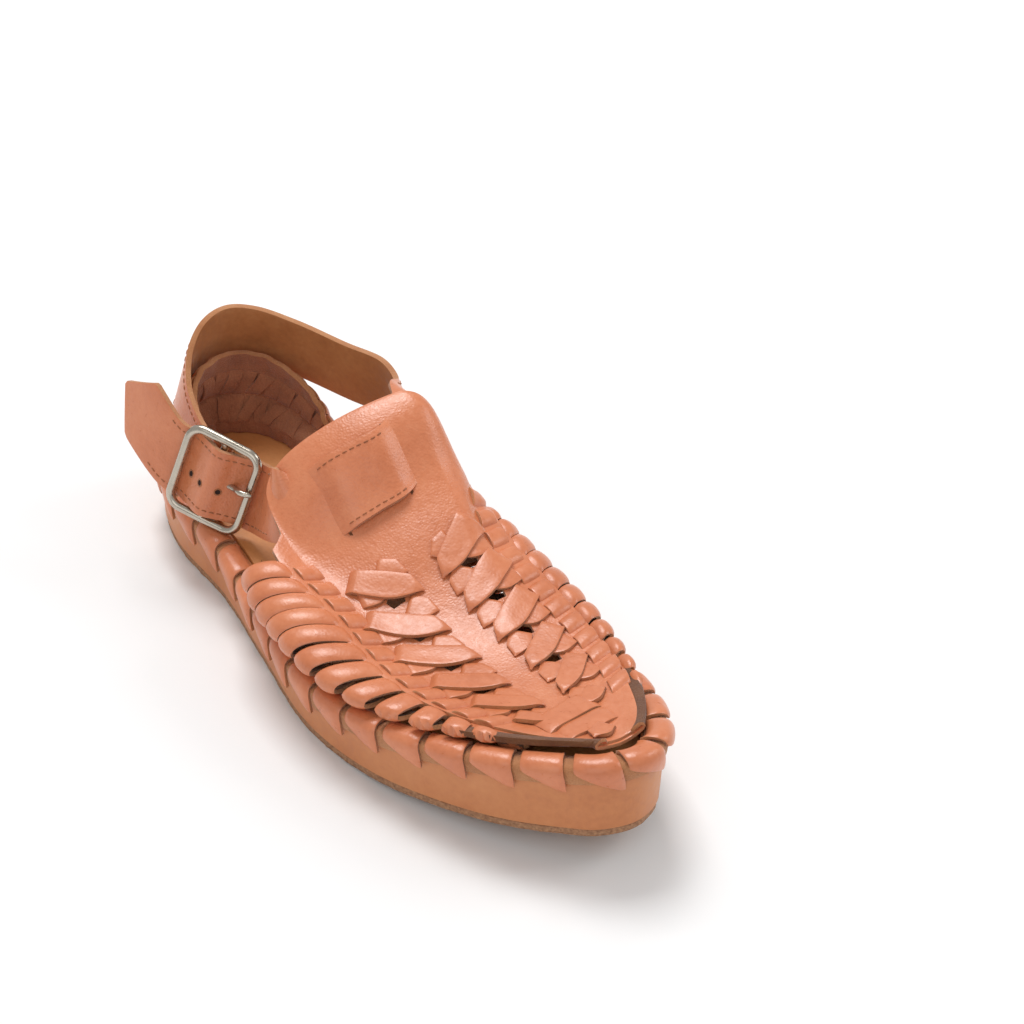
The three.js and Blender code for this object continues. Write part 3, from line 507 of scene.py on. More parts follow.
fleshSide = fibreMaterial("fleshSuede", [(0.25, "#8E5538"), (0.5, "#B0704E"), (0.75, "#C68660")], 0.8, 1.0)
# painted shade: a dark brown flesh side that stands in for the shade inside the shoe; it goes on the backs of
# the vamp's leather and on the strap's slits
paintedShadeInside = fibreMaterial("shadedFleshSide", [(0.25, "#5A3018"), (0.5, "#70421F"), (0.75, "#80502C")], 0.7,
                           0.8)
threadWax = fibreMaterial("waxedThread", [(0.25, "#8E5230"), (0.5, "#A8663E"), (0.75, "#B8764C")], 0.25, 0.4)
nickel = nickelMaterial("tumbledNickel")
rubber = rubberMaterial("crepeRubber")
print("materials ready")

insideShoe = lambda p: (p[0], 5.0, 20.0)
insideHeel = lambda p: (-88.0, 8.0, p[2])


# Sole

midsole = {"seat": 3.3, "round": 1.2, "belly": 0.35}


def makeMidsole():
    seat = lambda x: bottomZ(x) + midsole["seat"]
    blend = lambda t: (lambda x: seat(x) * (1 - t) + (rimZ(x) - midsole["round"]) * t)
    rings = [ringAt(6, seat), ringAt(0.5, seat), ringAt(0.1, lambda x: seat(x) + 0.4)]
    rings += [ringAt(0.1 - midsole["belly"] * math.sin(math.pi * t) * 0.3, blend(t)) for t in (0.15, 0.3, 0.5,
                                                                                               0.7, 0.85)]
    for k in range(5):
        a = math.pi / 2 * k / 4
        turn = midsole["round"]
        rings.append(ringAt(turn * (1 - math.cos(a)),
                            (lambda a: lambda x: rimZ(x) - turn * (1 - math.sin(a)))(a)))
    rings += [ringAt(sole["footbedInset"], rimZ), ringAt(sole["footbedInset"], footbedZ)]
    piece = ringPiece("midsoleWall", rings, wallLeather)
    return finishPiece(piece, ["midsole"], 35)


def makeOutsole():
    rng = np.random.default_rng(7)
    wander = np.convolve(rng.normal(0, 1, 1800 + 60), np.ones(9) / 9, "same")[30:-30]
    inset = lambda base, rough: rimLoop - outLoop * (base + wander * rough)[:, None]
    ring = lambda base, rough, height: np.column_stack([inset(base, rough)[::4], height(rimLoop[::4, 0])])
    rings = [ring(4, 0, bottomZ), ring(1.0, 0.1, bottomZ), ring(0.75, 0.3, lambda x: bottomZ(x) + 0.3),
             ring(0.7, 0.4, lambda x: bottomZ(x) + 1.5), ring(0.7, 0.35, lambda x: bottomZ(x) + 2.7),
             ring(0.9, 0.1, lambda x: bottomZ(x) + 3.0)]
    piece = ringPiece("rubberOutsole", rings, rubber)
    return finishPiece(piece, ["outsole"], 40)


def makeInsole():
    inset = sole["footbedInset"] + sole["clearance"]
    low = lambda x: footbedZ(x) + sole["clearance"]
    rings = [ringAt(inset, low), ringAt(inset, lambda x: insoleZ(x) - 0.6),
             ringAt(inset + 0.25, lambda x: insoleZ(x) - 0.15),
             ringAt(inset + 0.8, insoleZ), ringAt(inset + 5, lambda x: insoleZ(x) - 0.1),
             ringAt(inset + 14, lambda x: insoleZ(x) - 0.3)]
    piece = ringPiece("insoleSheet", rings, insoleLeather)
    return finishPiece(piece, ["insole"], 40)


makeMidsole()
makeOutsole()
makeInsole()
print("sole ready")


# Whip stitches round the rim

lacing = {"pitch": 17.8, "gap": 2.9, "slant": 3.4, "phase": 3.5, "drop": 8.2, "reach": 7.2, "thick": 1.4,
          "puff": 0.8,
          "short": 0.62}


def alongRim(distance, out, up):
    at = (np.asarray(distance) / rimLength * len(rimLoop)) % len(rimLoop)
    i = at.astype(int) % len(rimLoop)
    j = (i + 1) % len(rimLoop)
    w = (at - at.astype(int))[..., None]
    place = rimLoop[i] * (1 - w) + rimLoop[j] * w
    outward = outLoop[i] * (1 - w) + outLoop[j] * w
    flat = place + outward * np.asarray(out)[..., None]
    half = sole["length"] / 2
    return np.concatenate([flat, (rimZ(np.clip(place[..., 0], -half, half)) + up)[..., None]], -1)


def makeLacing():
    count = round(rimLength / lacing["pitch"])
    pitch = rimLength / count
    # out, up and slant of the lace's face from the upper's foot over the edge and down the wall
    section = np.array([(-lacing["reach"], 1.2, 0), (-5.6, 2.5, 0.04), (-3, 3.2, 0.12), (-0.6, 3.2, 0.24),
                        (1.2, 2.6, 0.36),
                        (2.4, 1.2, 0.48), (2.8, -0.8, 0.62), (2.8, -3, 0.78), (2.7, -5.4, 0.9),
                        (2.4, -lacing["drop"], 1)])
    fine = throughPoints(section, False, 26)
    rng = np.random.default_rng(3)
    grids = []
    for i in range(count):
        start = i * pitch + lacing["phase"] + rng.uniform(-0.4, 0.4)
        long = pitch - lacing["gap"] + rng.uniform(-0.4, 0.4)
        u = np.linspace(0, 1, 13)
        grid = np.zeros((len(fine), 13, 3))
        for r in range(len(fine)):
            fall = r / (len(fine) - 1)
            # each column stops higher up the wall the nearer it is to the heel side
            stop = 1 - lacing["short"] * (1 - u) ** 1.3 * 0.62
            row = np.clip(fall * stop, 0, 1) * (len(fine) - 1)
            outs, ups, slants = [np.interp(row, np.arange(len(fine)), fine[:, k]) for k in range(3)]
            distance = start + slants * lacing["slant"] + u * long
            full = math.sin(math.pi * min(1, 0.15 + fall * 0.85)) ** 0.5
            swell = lacing["puff"] * (1 - (2 * u - 1) ** 4) * full
            outNow = outs + swell * np.clip(1 - ups / 4, 0, 1) - 0.5 * (2 * u - 1) ** 8
            grid[r] = alongRim(distance, outNow, ups + swell * np.clip(ups / 4, 0, 1))
        grids.append(grid)
    inside = lambda p: (p[0] * 0.93, p[1] * 0.8, rimZ(p[0]) - 6)
    piece = layLeather("laceStitches", grids, inside, lacing["thick"], [weaveLeather, cutEdge], 0.35)
    finishPiece(piece, ["edge_lacing"], 50)
    u = np.linspace(0, rimLength, 460)
    band = np.array([(-lacing["reach"], 0.4), (-4, 1.4), (-0.8, 1.5), (0.7, 1.0), (1.3, 0), (1.35, -3),
                     (1.2, -5.2)])
    grid = np.array([alongRim(u, np.full(u.shape, out), up) for out, up in band])
    piece = layLeather("rimWelt", [grid], inside, 1.0, [cutEdge], 0)
    return finishPiece(piece, ["edge_lacing"], 50)


makeLacing()
print("lacing ready")


# Woven vamp

weave = {
    "stripWidth": 9.4, "lift": 1.2, "squareLong": 8.9, "squareWide": 8.4, "squareLift": 2.2, "pitch": 9.4,
    "outerRim": [0.35, 0.386, 0.423, 0.46, 0.502, 0.557, 0.613, 0.67, 0.727, 0.78, 0.828, 0.87],
    "innerRim": [0.36, 0.402, 0.444, 0.484, 0.53, 0.58, 0.634, 0.686, 0.738, 0.788, 0.834, 0.874],
    "tuckFrom": 7.5, "tuckOver": 3.5, "outerTop": 0.452, "innerTop": 0.48,
    # base x, base y, tip x, tip y, half width
    "outerLeaves": [(-1.2, -19.2, 19.5, 0.8, 4.5), (16.6, -23.8, 39, -0.9, 4.6), (36, -24.5, 56.5, 0, 4.6),
                    (56, -22.5, 75, -0.7, 4.3), (75, -19, 93.5, 0, 4.0)],
    "innerLeaves": [(6, 29.5, 20, 8, 4.8), (22, 32, 36.8, 7.6, 4.8), (40, 31.5, 54, 8.3, 4.6),
                    (58, 30, 73.3, 8.4, 4.3), (76, 27, 91.8, 8.4, 3.9)],
    "outerHoles": [(14.8, -9.2), (32.4, -10.2), (51.2, -9.8), (69.2, -9.8)],
    "innerHoles": [(19.4, 19.6), (35.4, 20), (53.8, 19.2), (71, 18.6)],
}


def layWeave(name, grids, thick=1.4, bevel=0.3):
    # the backs of the woven strips take the dark flesh side as painted shade
    piece = layLeather(name, grids, insideShoe, thick, [weaveLeather, cutEdge, paintedShadeInside], bevel)
    return finishPiece(piece, ["vamp"], 45)


def makeVampSheet():
    across = np.concatenate([np.linspace(-0.67, -0.5, 12), np.linspace(-0.48, 0.48, 62),
                             np.linspace(0.5, 0.67, 12)])
    steps = np.linspace(0, 1, 84)
    grid = np.zeros((len(across), len(steps), 3))
    for r, a in enumerate(across):
        x = stationX(rearAt(a) + (vamp["front"] - rearAt(a)) * steps)
        grid[r] = vampAt(x, np.full(x.shape, a), 0.7)
    # the sheet's back takes the dark flesh side as painted shade
    piece = layLeather("tongueSheet", [grid], insideShoe, 1.6, [grainLeather, cutEdge, paintedShadeInside], 0.3)
    cutters = []
    for side, sign in (("outerHoles", -1), ("innerHoles", 1)):
        for x, y in weave[side]:
            shape = [(-3.5, 0.2), (-0.2, 3.4), (3.5, 2.5), (3.5, -2.5), (-0.2, -3.4)]
            ring = [(x + dx, y + dy) for dx, dy in shape]
            xs, ys = np.array([p[0] for p in ring]), np.array([p[1] for p in ring])
            cutters.append((overVamp(xs, ys, -4.0), overVamp(xs, ys, 5.0)))
    points, faces, base = [], [], 0
    for low, high in cutters:
        n = len(low)
        points += [low, high]
        faces.append(tuple(base + i for i in range(n)))
        faces.append(tuple(base + n + i for i in reversed(range(n))))
        faces += [(base + i, base + n + i, base + n + (i + 1) % n, base + (i + 1) % n) for i in range(n)]
        base += 2 * n
    cutter = meshPiece("holePunch", np.vstack(points), faces, [cutEdge])
    turnOutward(cutter)
    punch = piece.modifiers.new("Holes", "BOOLEAN")
    punch.object = cutter
    punch.operation = "DIFFERENCE"
    punch.solver = "EXACT"
    applyAll(piece)
    bpy.data.objects.remove(cutter, do_unlink=True)
    return finishPiece(piece, ["vamp"], 45)


def makeToeSheet():  # under the weave at the toe, out to the rim
    ways = np.linspace(-toe["sheetAcross"], toe["sheetAcross"], 50)
    across, x = np.meshgrid(ways, np.linspace(toe["sheetFrom"], stationX(vamp["front"]) + 1, 30),
                            indexing="ij")
    # the sheet's back takes the dark flesh side as painted shade
    piece = layLeather("toeSheet", [vampAt(x, across, -0.3)], insideShoe, 1.2,
                       [grainLeather, cutEdge, paintedShadeInside], 0.2)
    return finishPiece(piece, ["vamp"], 45)


# The way across at a distance along the surface from the joint, plus toward the ridge
def acrossByDistance(x, sign, distance):
    x, distance = np.broadcast_arrays(np.asarray(x, float), np.asarray(distance, float))
    ways = np.linspace(0.96, 0.1, 70)
    line = vampPoint(x.reshape(-1, 1), sign * ways[None, :])
    legs = np.linalg.norm(np.diff(line, axis=1), axis=-1)
    walked = np.concatenate([np.zeros((line.shape[0], 1)), np.cumsum(legs, 1)], 1)
    result = np.empty(line.shape[0])
    for n, (arc, d) in enumerate(zip(walked, distance.reshape(-1))):
        joint = np.interp(-0.64, -ways, arc)
        result[n] = np.interp(joint + d, arc, ways)
    return sign * result.reshape(x.shape)


def sideStraps():
    grids = []
    t = np.linspace(0, 1, 34)
    u = np.linspace(-1, 1, 9)
    for name, sign in (("outer", -1), ("inner", 1)):
        for i, at in enumerate(weave[name + "Rim"]):
            low, high = stationX(at), stationX(weave[name + "Top"]) + i * weave["pitch"]
            half = weave["stripWidth"] / 2 * (1 - 0.02 * max(0, i - 6))
            T, U = np.meshgrid(t, u, indexing="ij")
            x = low + (high - low) * T ** 1.1 + U * half
            path = vampPoint(low + (high - low) * t, sign * np.linspace(0.955, 0.64, 34))
            full = np.linalg.norm(np.diff(path, axis=0), axis=1).sum()
            distance = (T - 1) * (full - 3)
            tuck = np.clip((distance + weave["tuckFrom"]) / weave["tuckOver"], 0, 1)
            foot = np.clip(T / 0.12, 0, 1)
            lift = weave["lift"] * foot + 0.7 * (1 - U ** 2) * foot - 2.4 * tuck ** 1.5 - 0.4 * U ** 4
            grids.append(vampAt(x, acrossByDistance(x, sign, distance), lift))
    return layWeave("sideStraps", grids, 1.6, 0.35)


def squares():
    grids = []
    t = np.linspace(-1, 1, 11)
    for name, sign in (("outer", -1), ("inner", 1)):
        for i in range(len(weave[name + "Rim"])):
            high = stationX(weave[name + "Top"]) + i * weave["pitch"] + 0.6
            T, U = np.meshgrid(t, t, indexing="ij")
            x = high + T * weave["squareLong"] / 2 + U * 0.8
            lift = weave["squareLift"] - 1.9 * np.abs(T) ** 3 - 0.25 * U ** 2
            grids.append(vampAt(x, acrossByDistance(x, sign, 0.4 + U * weave["squareWide"] / 2), lift))
    return layWeave("weaveSquares", grids)


# A strap's end from its base to its tip in plan: straight on the heel side, bowed on the toe side
def leafGrid(base, tip, half, toeSide, low, high, rows=30, columns=9, blunt=0.22):
    T, U = np.meshgrid(np.linspace(0, 1, rows), np.linspace(-1, 1, columns), indexing="ij")
    base, tip = np.array(base, float), np.array(tip, float)
    long = np.linalg.norm(tip - base)
    along = (tip - base) / long
    over = np.array([-along[1], along[0]])
    straight = np.clip((1 - T) / blunt, 0.05, 1)
    close = np.clip((T - 0.5) / 0.5, 0, 1)
    bowed = (1 + 0.16 * np.sin(np.pi * np.clip(T, 0, 0.95))) * np.maximum(np.cos(close * np.pi / 2),
                                                                          0.05) ** 0.75
    width = np.where(U * toeSide > 0, bowed, straight) * half
    x = base[0] + along[0] * long * T + over[0] * U * width
    y = base[1] + along[1] * long * T + over[1] * U * width
    rise = np.clip(T / 0.12, 0, 1)
    fall = np.clip((T - 0.86) / 0.14, 0, 1)
    lift = low + (high - low) * rise * (2 - rise) - (high - 0.9) * fall ** 2 * 0.8
    lift = lift + 0.35 * (1 - U ** 2) * rise
    lift += 0.5 * np.clip(U * toeSide, 0, 1) ** 2 * np.sin(np.pi * T)
    return overVamp(x, y, lift)


def leaves():
    big, small = [], []
    for name, sign in (("outerLeaves", -1), ("innerLeaves", 1)):
        rows = weave[name]
        for k, (bx, by, tx, ty, half) in enumerate(rows):
            big.append(leafGrid((bx, by), (tx, ty), half, sign, 0.4, 2.7))
            # the next strap's end goes under this leaf toward the heel and comes out before its tip
            across = (by - ty) * sign
            small.append(leafGrid((bx + 8.6, by + sign * 0.6), (bx + 11.5, by - sign * across * 0.55), 4.1,
                                  sign, 0.5, 1.6, 16, 7, 0.9))
            after = rows[k + 1][2] if k + 1 < len(rows) else tx + 17
            small.append(leafGrid((tx + 0.5, ty + sign * across * 0.42), ((tx + after) / 2, ty + sign * 0.4),
                                  3.9, sign, 0.3, 1.5, 18, 7, 0.4))
        bx, by, tx, ty, half = rows[0]
        small.append(leafGrid((bx + 3, ty + (by - ty) * 0.5), (tx - 9.5, ty + sign), 3.9, sign, 0.3, 1.5, 18,
                              7, 0.4))
    layWeave("weaveLeaves", big, 1.5)
    return layWeave("weaveTabs", small, 1.2, 0.25)


toe = {
    # middle x, y from and to, half width, slope, lift
    "straps": [(103, -11, 14, 5.2, -0.15, 2.6), (112.5, -9, 15, 4.4, -0.1, 1.9)],
    # base, tip, side that bows
    "tips": [((92, -13), (104, -4), -1), ((96, 20), (103, 10), 1), ((117, 8), (122, -2), 1)],
    "sheetFrom": 86, "sheetAcross": 0.93, "tipHalf": 3.4,
}


def toeStraps():
    grids = []
    t = np.linspace(-1, 1, 21)
    u = np.linspace(-1, 1, 9)
    for x, y0, y1, half, slope, high in toe["straps"]:
        T, U = np.meshgrid(t, u, indexing="ij")
        xs = x + U * half + slope * (T * (y1 - y0) / 2)
        ys = (y0 + y1) / 2 + T * (y1 - y0) / 2
        lift = high - 2.0 * np.abs(T) ** 5 + 0.4 * (1 - U ** 2)
        grids.append(overVamp(xs, ys, lift))
    for base, tip, side in toe["tips"]:
        grids.append(leafGrid(base, tip, toe["tipHalf"], side, 0.3, 2.1, 18, 7))
    return layWeave("toeStraps", grids)


makeVampSheet()
makeToeSheet()
sideStraps()
squares()
leaves()
toeStraps()
print("vamp ready")


# Heel counter

counter = {
    "walk": 60, "height": 43, "wall": 2.0, "leafCount": 15,
    "rows": [(-1, -84, -20.5, 0.42), (-0.8, -97, -18.5, 0.5), (-0.55, -113, -15, 0.66), (-0.3, -124, -7, 0.8),
             (0, -127.5, 8, 0.86), (0.3, -121, 21, 0.82), (0.55, -109, 28, 0.7), (0.8, -98, 31, 0.54),
             (1, -92, 31.5, 0.36)],
}


def counterPoints(turns, heights, lift):  # turn -1 to 1 round the heel, height 0 to 1 up the wall
    loop = insetLoop(vamp["inset"] + 0.9)
    at = (np.asarray(turns) * counter["walk"] / rimLength * len(loop)) % len(loop)
    # the outline starts at the back of the heel and first runs up the outer side
    at = (-at) % len(loop)
    i = at.astype(int) % len(loop)
    j = (i + 1) % len(loop)
    w = (at - np.floor(at))[:, None]
    feet = loop[i] * (1 - w) + loop[j] * w
    tops = np.array([[tableAt(counter["rows"], k, t) for k in (1, 2, 3)] for t in turns])
    out = outLoop[i]
    grid = np.zeros((len(turns), len(heights), 3))
    for n in range(len(turns)):
        x, y = feet[n]
        rim = float(rimZ(x))
        foot = np.array([x, y, float(insoleZ(x)) + 0.3])
        top = np.array([tops[n, 0], tops[n, 1], rim + tops[n, 2] * counter["height"]])
        outward = np.array([out[n, 0], out[n, 1], 0])
        knee = np.array([x, y, rim + 6.1])
        rise = top[2] - knee[2]
        belly = knee + outward * 9 + np.array([0, 0, rise * 0.3])
        neck = top + outward * 3.5 + np.array([0, 0, -rise * 0.4])
        for m, h in enumerate(heights):
            if h < 0.15:
                p = foot + (knee - foot) * h / 0.15
            else:
                s = (h - 0.15) / 0.85
                p = knee * (1 - s) ** 3 + 3 * belly * s * (1 - s) ** 2
                p = p + 3 * neck * s * s * (1 - s) + top * s ** 3
            amount = lift(turns[n], h) if callable(lift) else lift
            grid[n, m] = p + outward * amount
    return grid


def makeCounter():
    turns, heights = np.linspace(-1, 1, 90), np.linspace(0, 1, 30)
    ripple = lambda turn, h: 0.9 + 0.35 * math.sin(turn * 40 + h * 5) * math.sin(h * 9 + turn * 6)
    piece = layLeather("counterWall", [counterPoints(turns, heights, ripple)], insideHeel, counter["wall"],
                       [weaveLeather, cutEdge, fleshSide], 0.3)
    finishPiece(piece, ["heel_counter"], 50)
    grids = []
    for k in range(counter["leafCount"]):
        middle = -0.94 + 1.88 * k / (counter["leafCount"] - 1)
        t = np.linspace(0, 1, 22)
        u = np.linspace(-1, 1, 7)
        grid = np.zeros((22, 7, 3))
        for a, h in enumerate(t):
            wide = 0.083 * (1 - 0.25 * abs(2 * h - 1) ** 2)
            spots = middle + u * wide + 0.07 * (h - 0.5)
            lift = (lambda h: lambda turn, hh: 1.4 + 2.0 * math.sin(math.pi * h) ** 0.7)(h)
            grid[a] = counterPoints(spots, np.array([0.14 + 0.84 * h]), lift)[:, 0]
        dome = (1 - u ** 2) * 0.8
        middleOf = np.array([-88.0, 8.0])
        flat = grid[..., :2] - middleOf
        grid[..., :2] += flat / np.linalg.norm(flat, axis=-1, keepdims=True) * dome[None, :, None]
        grids.append(grid)
    piece = layLeather("counterLeaves", grids, insideHeel, 1.4, [weaveLeather, cutEdge, fleshSide], 0.3)
    finishPiece(piece, ["heel_counter"], 50)
    # strap ends turned to the inside, rough side out
    rng = np.random.default_rng(11)
    grids = []
    for k in range(17):
        middle = -0.88 + 1.76 * k / 16
        for level in (0.3, 0.62):
            t, u = np.linspace(-1, 1, 9), np.linspace(-1, 1, 7)
            lean = rng.uniform(-0.25, 0.25)
            grid = np.zeros((9, 7, 3))
            for a, h in enumerate(t):
                high = level + 0.15 * h + rng.uniform(-0.006, 0.006)
                spots = middle + u * 0.056 + lean * 0.16 * h
                lift = -1.2 - 2.0 * (1 - abs(h) ** 3) * (1 if k % 2 else 0.6)
                grid[a] = counterPoints(spots, np.array([high]), lift)[:, 0]
            grids.append(grid)
    outside = lambda p: (p[0] * 2 + 88, p[1] * 2 - 8, p[2])
    piece = layLeather("counterTucks", grids, outside, 1.1, [fleshSide], 0.25)
    return finishPiece(piece, ["heel_counter"], 50)


makeCounter()
print("counter ready")


# Buckle and ankle strap

def unit(v):
    v = np.array(v, float)
    return v / np.linalg.norm(v)


buckle = {"at": (-75.7, -29.8, 44.7), "wire": 3.4, "long": 33, "high": 37, "corner": 5.5, "prong": 2.4}
buckleAlong = unit((0.85, 0.48, -0.22))
buckleOut = unit(np.cross(buckleAlong, (0.07, 0.32, 0.95)))
buckleUp = unit(np.cross(buckleOut, buckleAlong))


def inBuckle(along, up, out):
    return np.array(buckle["at"]) + buckleAlong * along + buckleUp * up + buckleOut * out


strap = {"width": 28, "thick": 2.2, "tip": 13, "steps": 9, "columns": (-1, -0.5, 0, 0.5, 1), "stitchIn": 2.6,
         "stitchPitch": 2.9}
overWire = buckle["wire"] / 2 + strap["thick"] / 2 + 0.45
overFlap = vamp["wall"] / 2 + strap["thick"] / 2 + 0.55
strapRows = [
    ("buckle", 2, -overWire - 0.5), ("buckle", -5, -overWire - 0.7), ("free", -86, -28, 42, 0.04, 0.33),
    ("free", -96, -25.5, 40, 0.02, 0.35), ("free", -107, -23, 42.5, 0.05, 0.3),
    ("free", -118, -19.5, 48, 0.12, 0.25),
    ("free", -127, -12, 57, 0.18, 0.14), ("free", -132, -2, 64, 0.22, 0.05), ("free", -133, 9, 66.4, 0.22, 0),
    ("free", -129, 20, 65, 0.22, -0.05), ("free", -116, 32, 61.5, 0.16, -0.12),
    ("free", -95, 42.5, 58.5, 0.08, -0.16),
    ("free", -74, 47.5, 60, -0.05, -0.2), ("free", -58, 45, 60.2, -0.27, -0.2),
    ("flap", -41, 37, -overFlap - 1),
    ("flap", -30, 26.5, -overFlap), ("flap", -24.5, 18.5, 0), ("flap", -23, 13, overFlap),
    ("flap", -24.5, 4.5, overFlap + 0.2),
    ("flap", -26.5, -4, overFlap), ("flap", -28.5, -9.5, 0), ("flap", -32, -15, -overFlap - 0.4),
    ("free", -44, -21.5, 48.6, -0.4, 0.19), ("buckle", 19, -overWire - 0.4), ("buckle", 13, -overWire - 0.2),
    ("buckle", 6, 0), ("buckle", 0, overWire), ("buckle", -6, 0), ("buckle", -12.5, -overWire - 0.2),
    ("buckle", -19, -overWire), ("free", -108, -38.5, 56.5, 0.28, 0.33),
    ("free", -123, -38.5, 65.5, 0.42, 0.3),
]


def strapRow(row):
    reach = [c * strap["width"] / 2 for c in strap["columns"]]
    if row[0] == "buckle":
        return np.array([inBuckle(row[1], r, row[2]) for r in reach])
    if row[0] == "flap":
        middle = acrossAt(row[1], row[2])
        slope = np.linalg.norm(vampPoint(row[1] - 5, middle) - vampPoint(row[1] + 5, middle)) / 10
        xs = np.array([row[1] - r / slope for r in reach])
        return overVamp(xs, np.full(5, row[2]), np.full(5, float(row[3])))
    lean = np.array([row[4], row[5], math.sqrt(1 - row[4] ** 2 - row[5] ** 2)])
    return np.array([np.array(row[1:4]) + lean * r for r in reach])


def strapGrid(columns=13):
    rows = np.array([strapRow(row) for row in strapRows])
    last = len(strapRows) - 1
    count = last * strap["steps"] + 1
    lines = [throughPoints(rows[:, k], False, count) for k in range(5)]
    end = lines[2][-1]
    spots = np.linspace(-1, 1, columns)
    grid = np.zeros((count, columns, 3))
    for i in range(count):
        t = i / (count - 1)
        points = np.array([line[i] for line in lines])
        toEnd = np.linalg.norm(end - points[2])
        taper = min(1, 0.06 + toEnd / strap["tip"]) if t > 1 - 2 / last else 1
        points = points[2] + (points - points[2]) * taper
        for k in range(3):
            grid[i, :, k] = np.polyval(np.polyfit(strap["columns"], points[:, k], 3), spots)
    return grid


def gridNormals(grid):
    du = np.gradient(grid, axis=0)
    dv = np.gradient(grid, axis=1)
    normal = np.cross(du, dv)
    return normal / np.maximum(np.linalg.norm(normal, axis=-1, keepdims=True), 1e-9)


def stitchRun(line, normals, pitch, long, thick):  # thread humps along a line of points
    walked = np.concatenate([[0], np.cumsum(np.linalg.norm(np.diff(line, axis=0), axis=1))])
    points, faces = [], []
    for d in np.arange(pitch, walked[-1] - pitch, pitch):
        centre = np.array([np.interp(d, walked, line[:, k]) for k in range(3)])
        ahead = np.array([np.interp(d + 0.5, walked, line[:, k]) for k in range(3)])
        normal = np.array([np.interp(d, walked, normals[:, k]) for k in range(3)])
        along = unit(ahead - centre)
        normal = unit(normal - along * np.dot(normal, along))
        side = np.cross(along, normal)
        base = len(points)
        rings = ((-0.5, 0.25), (-0.3, 0.9), (0.3, 0.9), (0.5, 0.25))
        for place, size in rings:
            for k in range(6):
                a = math.tau * k / 6
                points.append(centre + along * place * long + normal * (math.sin(a) * thick * size)
                              + side * (math.cos(a) * thick * size))
        faces += tubeFaces(len(rings), 6, base)
    return points, faces


def makeStrap():
    grid = strapGrid()
    normals = gridNormals(grid)
    # the normal points out of the shoe where the strap starts, and keeps its side along its length
    probed = 3 * strap["steps"]
    if np.dot(normals[probed, 6], buckleOut) < 0:
        normals = -normals
        grid = grid[:, ::-1]
        normals = normals[:, ::-1]
    half = strap["thick"] / 2
    face = grid + normals * half
    rows, columns, _ = face.shape
    probe = np.cross(face[probed, 1] - face[probed, 0], face[probed + 1, 0] - face[probed, 0])
    if np.dot(probe, buckleOut) < 0:
        face = face[:, ::-1]
    faces = gridFaces(rows, columns)
    piece = meshPiece("ankleStrap", face.reshape(-1, 3), faces, [grainLeather, cutEdge, liningLeather])
    addWall(piece, strap["thick"], 0.45, 3)
    applyAll(piece)
    finishPiece(piece, ["ankle_strap"], 45)
    # thread along both edges
    points, faces = [], []
    outer = grid + normals * (half + 0.05)
    inset = strap["stitchIn"] / (strap["width"] / 2)
    spots = np.linspace(-1, 1, columns)
    steps = strap["steps"]
    stop = rows - 2 * steps + 6
    for sign in (-1, 1):
        place = sign * (1 - inset)
        line = np.array([[np.interp(place, spots, outer[i, :, k]) for k in range(3)] for i in range(stop)])
        norm = np.array([[np.interp(place, spots, normals[i, :, k]) for k in range(3)] for i in range(stop)])
        for first, last in ((3, 13.9), (16.5, 20.2), (22.3, len(strapRows))):
            first, last = int(first * steps), int(last * steps)
            p, f = stitchRun(line[first:last], norm[first:last], strap["stitchPitch"], 2.0, 0.32)
            faces += [tuple(v + len(points) for v in face_) for face_ in f]
            points += p
    stitches = meshPiece("strapStitches", np.array(points), faces, [threadWax])
    finishPiece(stitches, ["ankle_strap"], 60)
    # painted shade: dark strips laid on the flap along the slits where the strap goes through it
    slits = []
    for at, ahead in ((16.35, -1), (19.7, 1)):
        i = int(at * strap["steps"])
        line = grid[i] + (grid[i, -1] - grid[i, 0]) * np.linspace(-0.03, 0.03, columns)[:, None]
        way = unit((grid[i + 6, 6] - grid[i - 6, 6])[:2]) * ahead
        edges = [overVamp(line[:, 0] + way[0] * w, line[:, 1] + way[1] * w, lift) for w,
                 lift in ((-0.6, 0.8), (0.7, 0.8))]
        slits.append(np.array(edges))
    slit = layLeather("strapSlitShade", slits, insideShoe, 0.2, [paintedShadeInside, paintedShadeInside], 0)
    finishPiece(slit, ["ankle_strap"], 40)
    # punched holes in the strap's end
    points, faces = [], []
    tail = slice(rows - 9 * strap["steps"], rows)
    flat = grid[tail].reshape(-1, 3)
    flatNormals = normals[tail].reshape(-1, 3)
    rel = flat - np.array(buckle["at"])
    across = np.stack([rel @ buckleAlong, rel @ buckleUp], 1)
    for along, up in ((-8.7, -1.7), (-3.4, -2.4), (3.0, -2.3)):
        k = int(np.argmin(np.linalg.norm(across - (along, up), axis=1)))
        centre, normal = flat[k] + flatNormals[k] * (half + 0.06), flatNormals[k]
        side = unit(np.cross(normal, buckleUp))
        over = np.cross(side, normal)
        base = len(points)
        n = 20
        for radius, sink in ((1.6, 0.0), (1.25, 0.12), (1.05, -0.02)):
            for a in range(n):
                w = math.tau * a / n
                points.append(centre + (side * math.cos(w) + over * math.sin(w)) * radius + normal * sink)
        faces += tubeFaces(3, n, base, startCap=False)
    dark, tree, surface, coords = newMaterial("holeShade")  # the dark bottom of a punched hole
    surface.inputs["Base Color"].default_value = toLinear("#2A1710")
    surface.inputs["Roughness"].default_value = 0.9
    holes = meshPiece("strapHoles", np.array(points), faces, [threadWax, dark])
    for polygon in holes.data.polygons:
        polygon.material_index = 1 if len(polygon.vertices) > 4 else 0
    turnOutward(holes)
    return finishPiece(holes, ["ankle_strap"], 40)


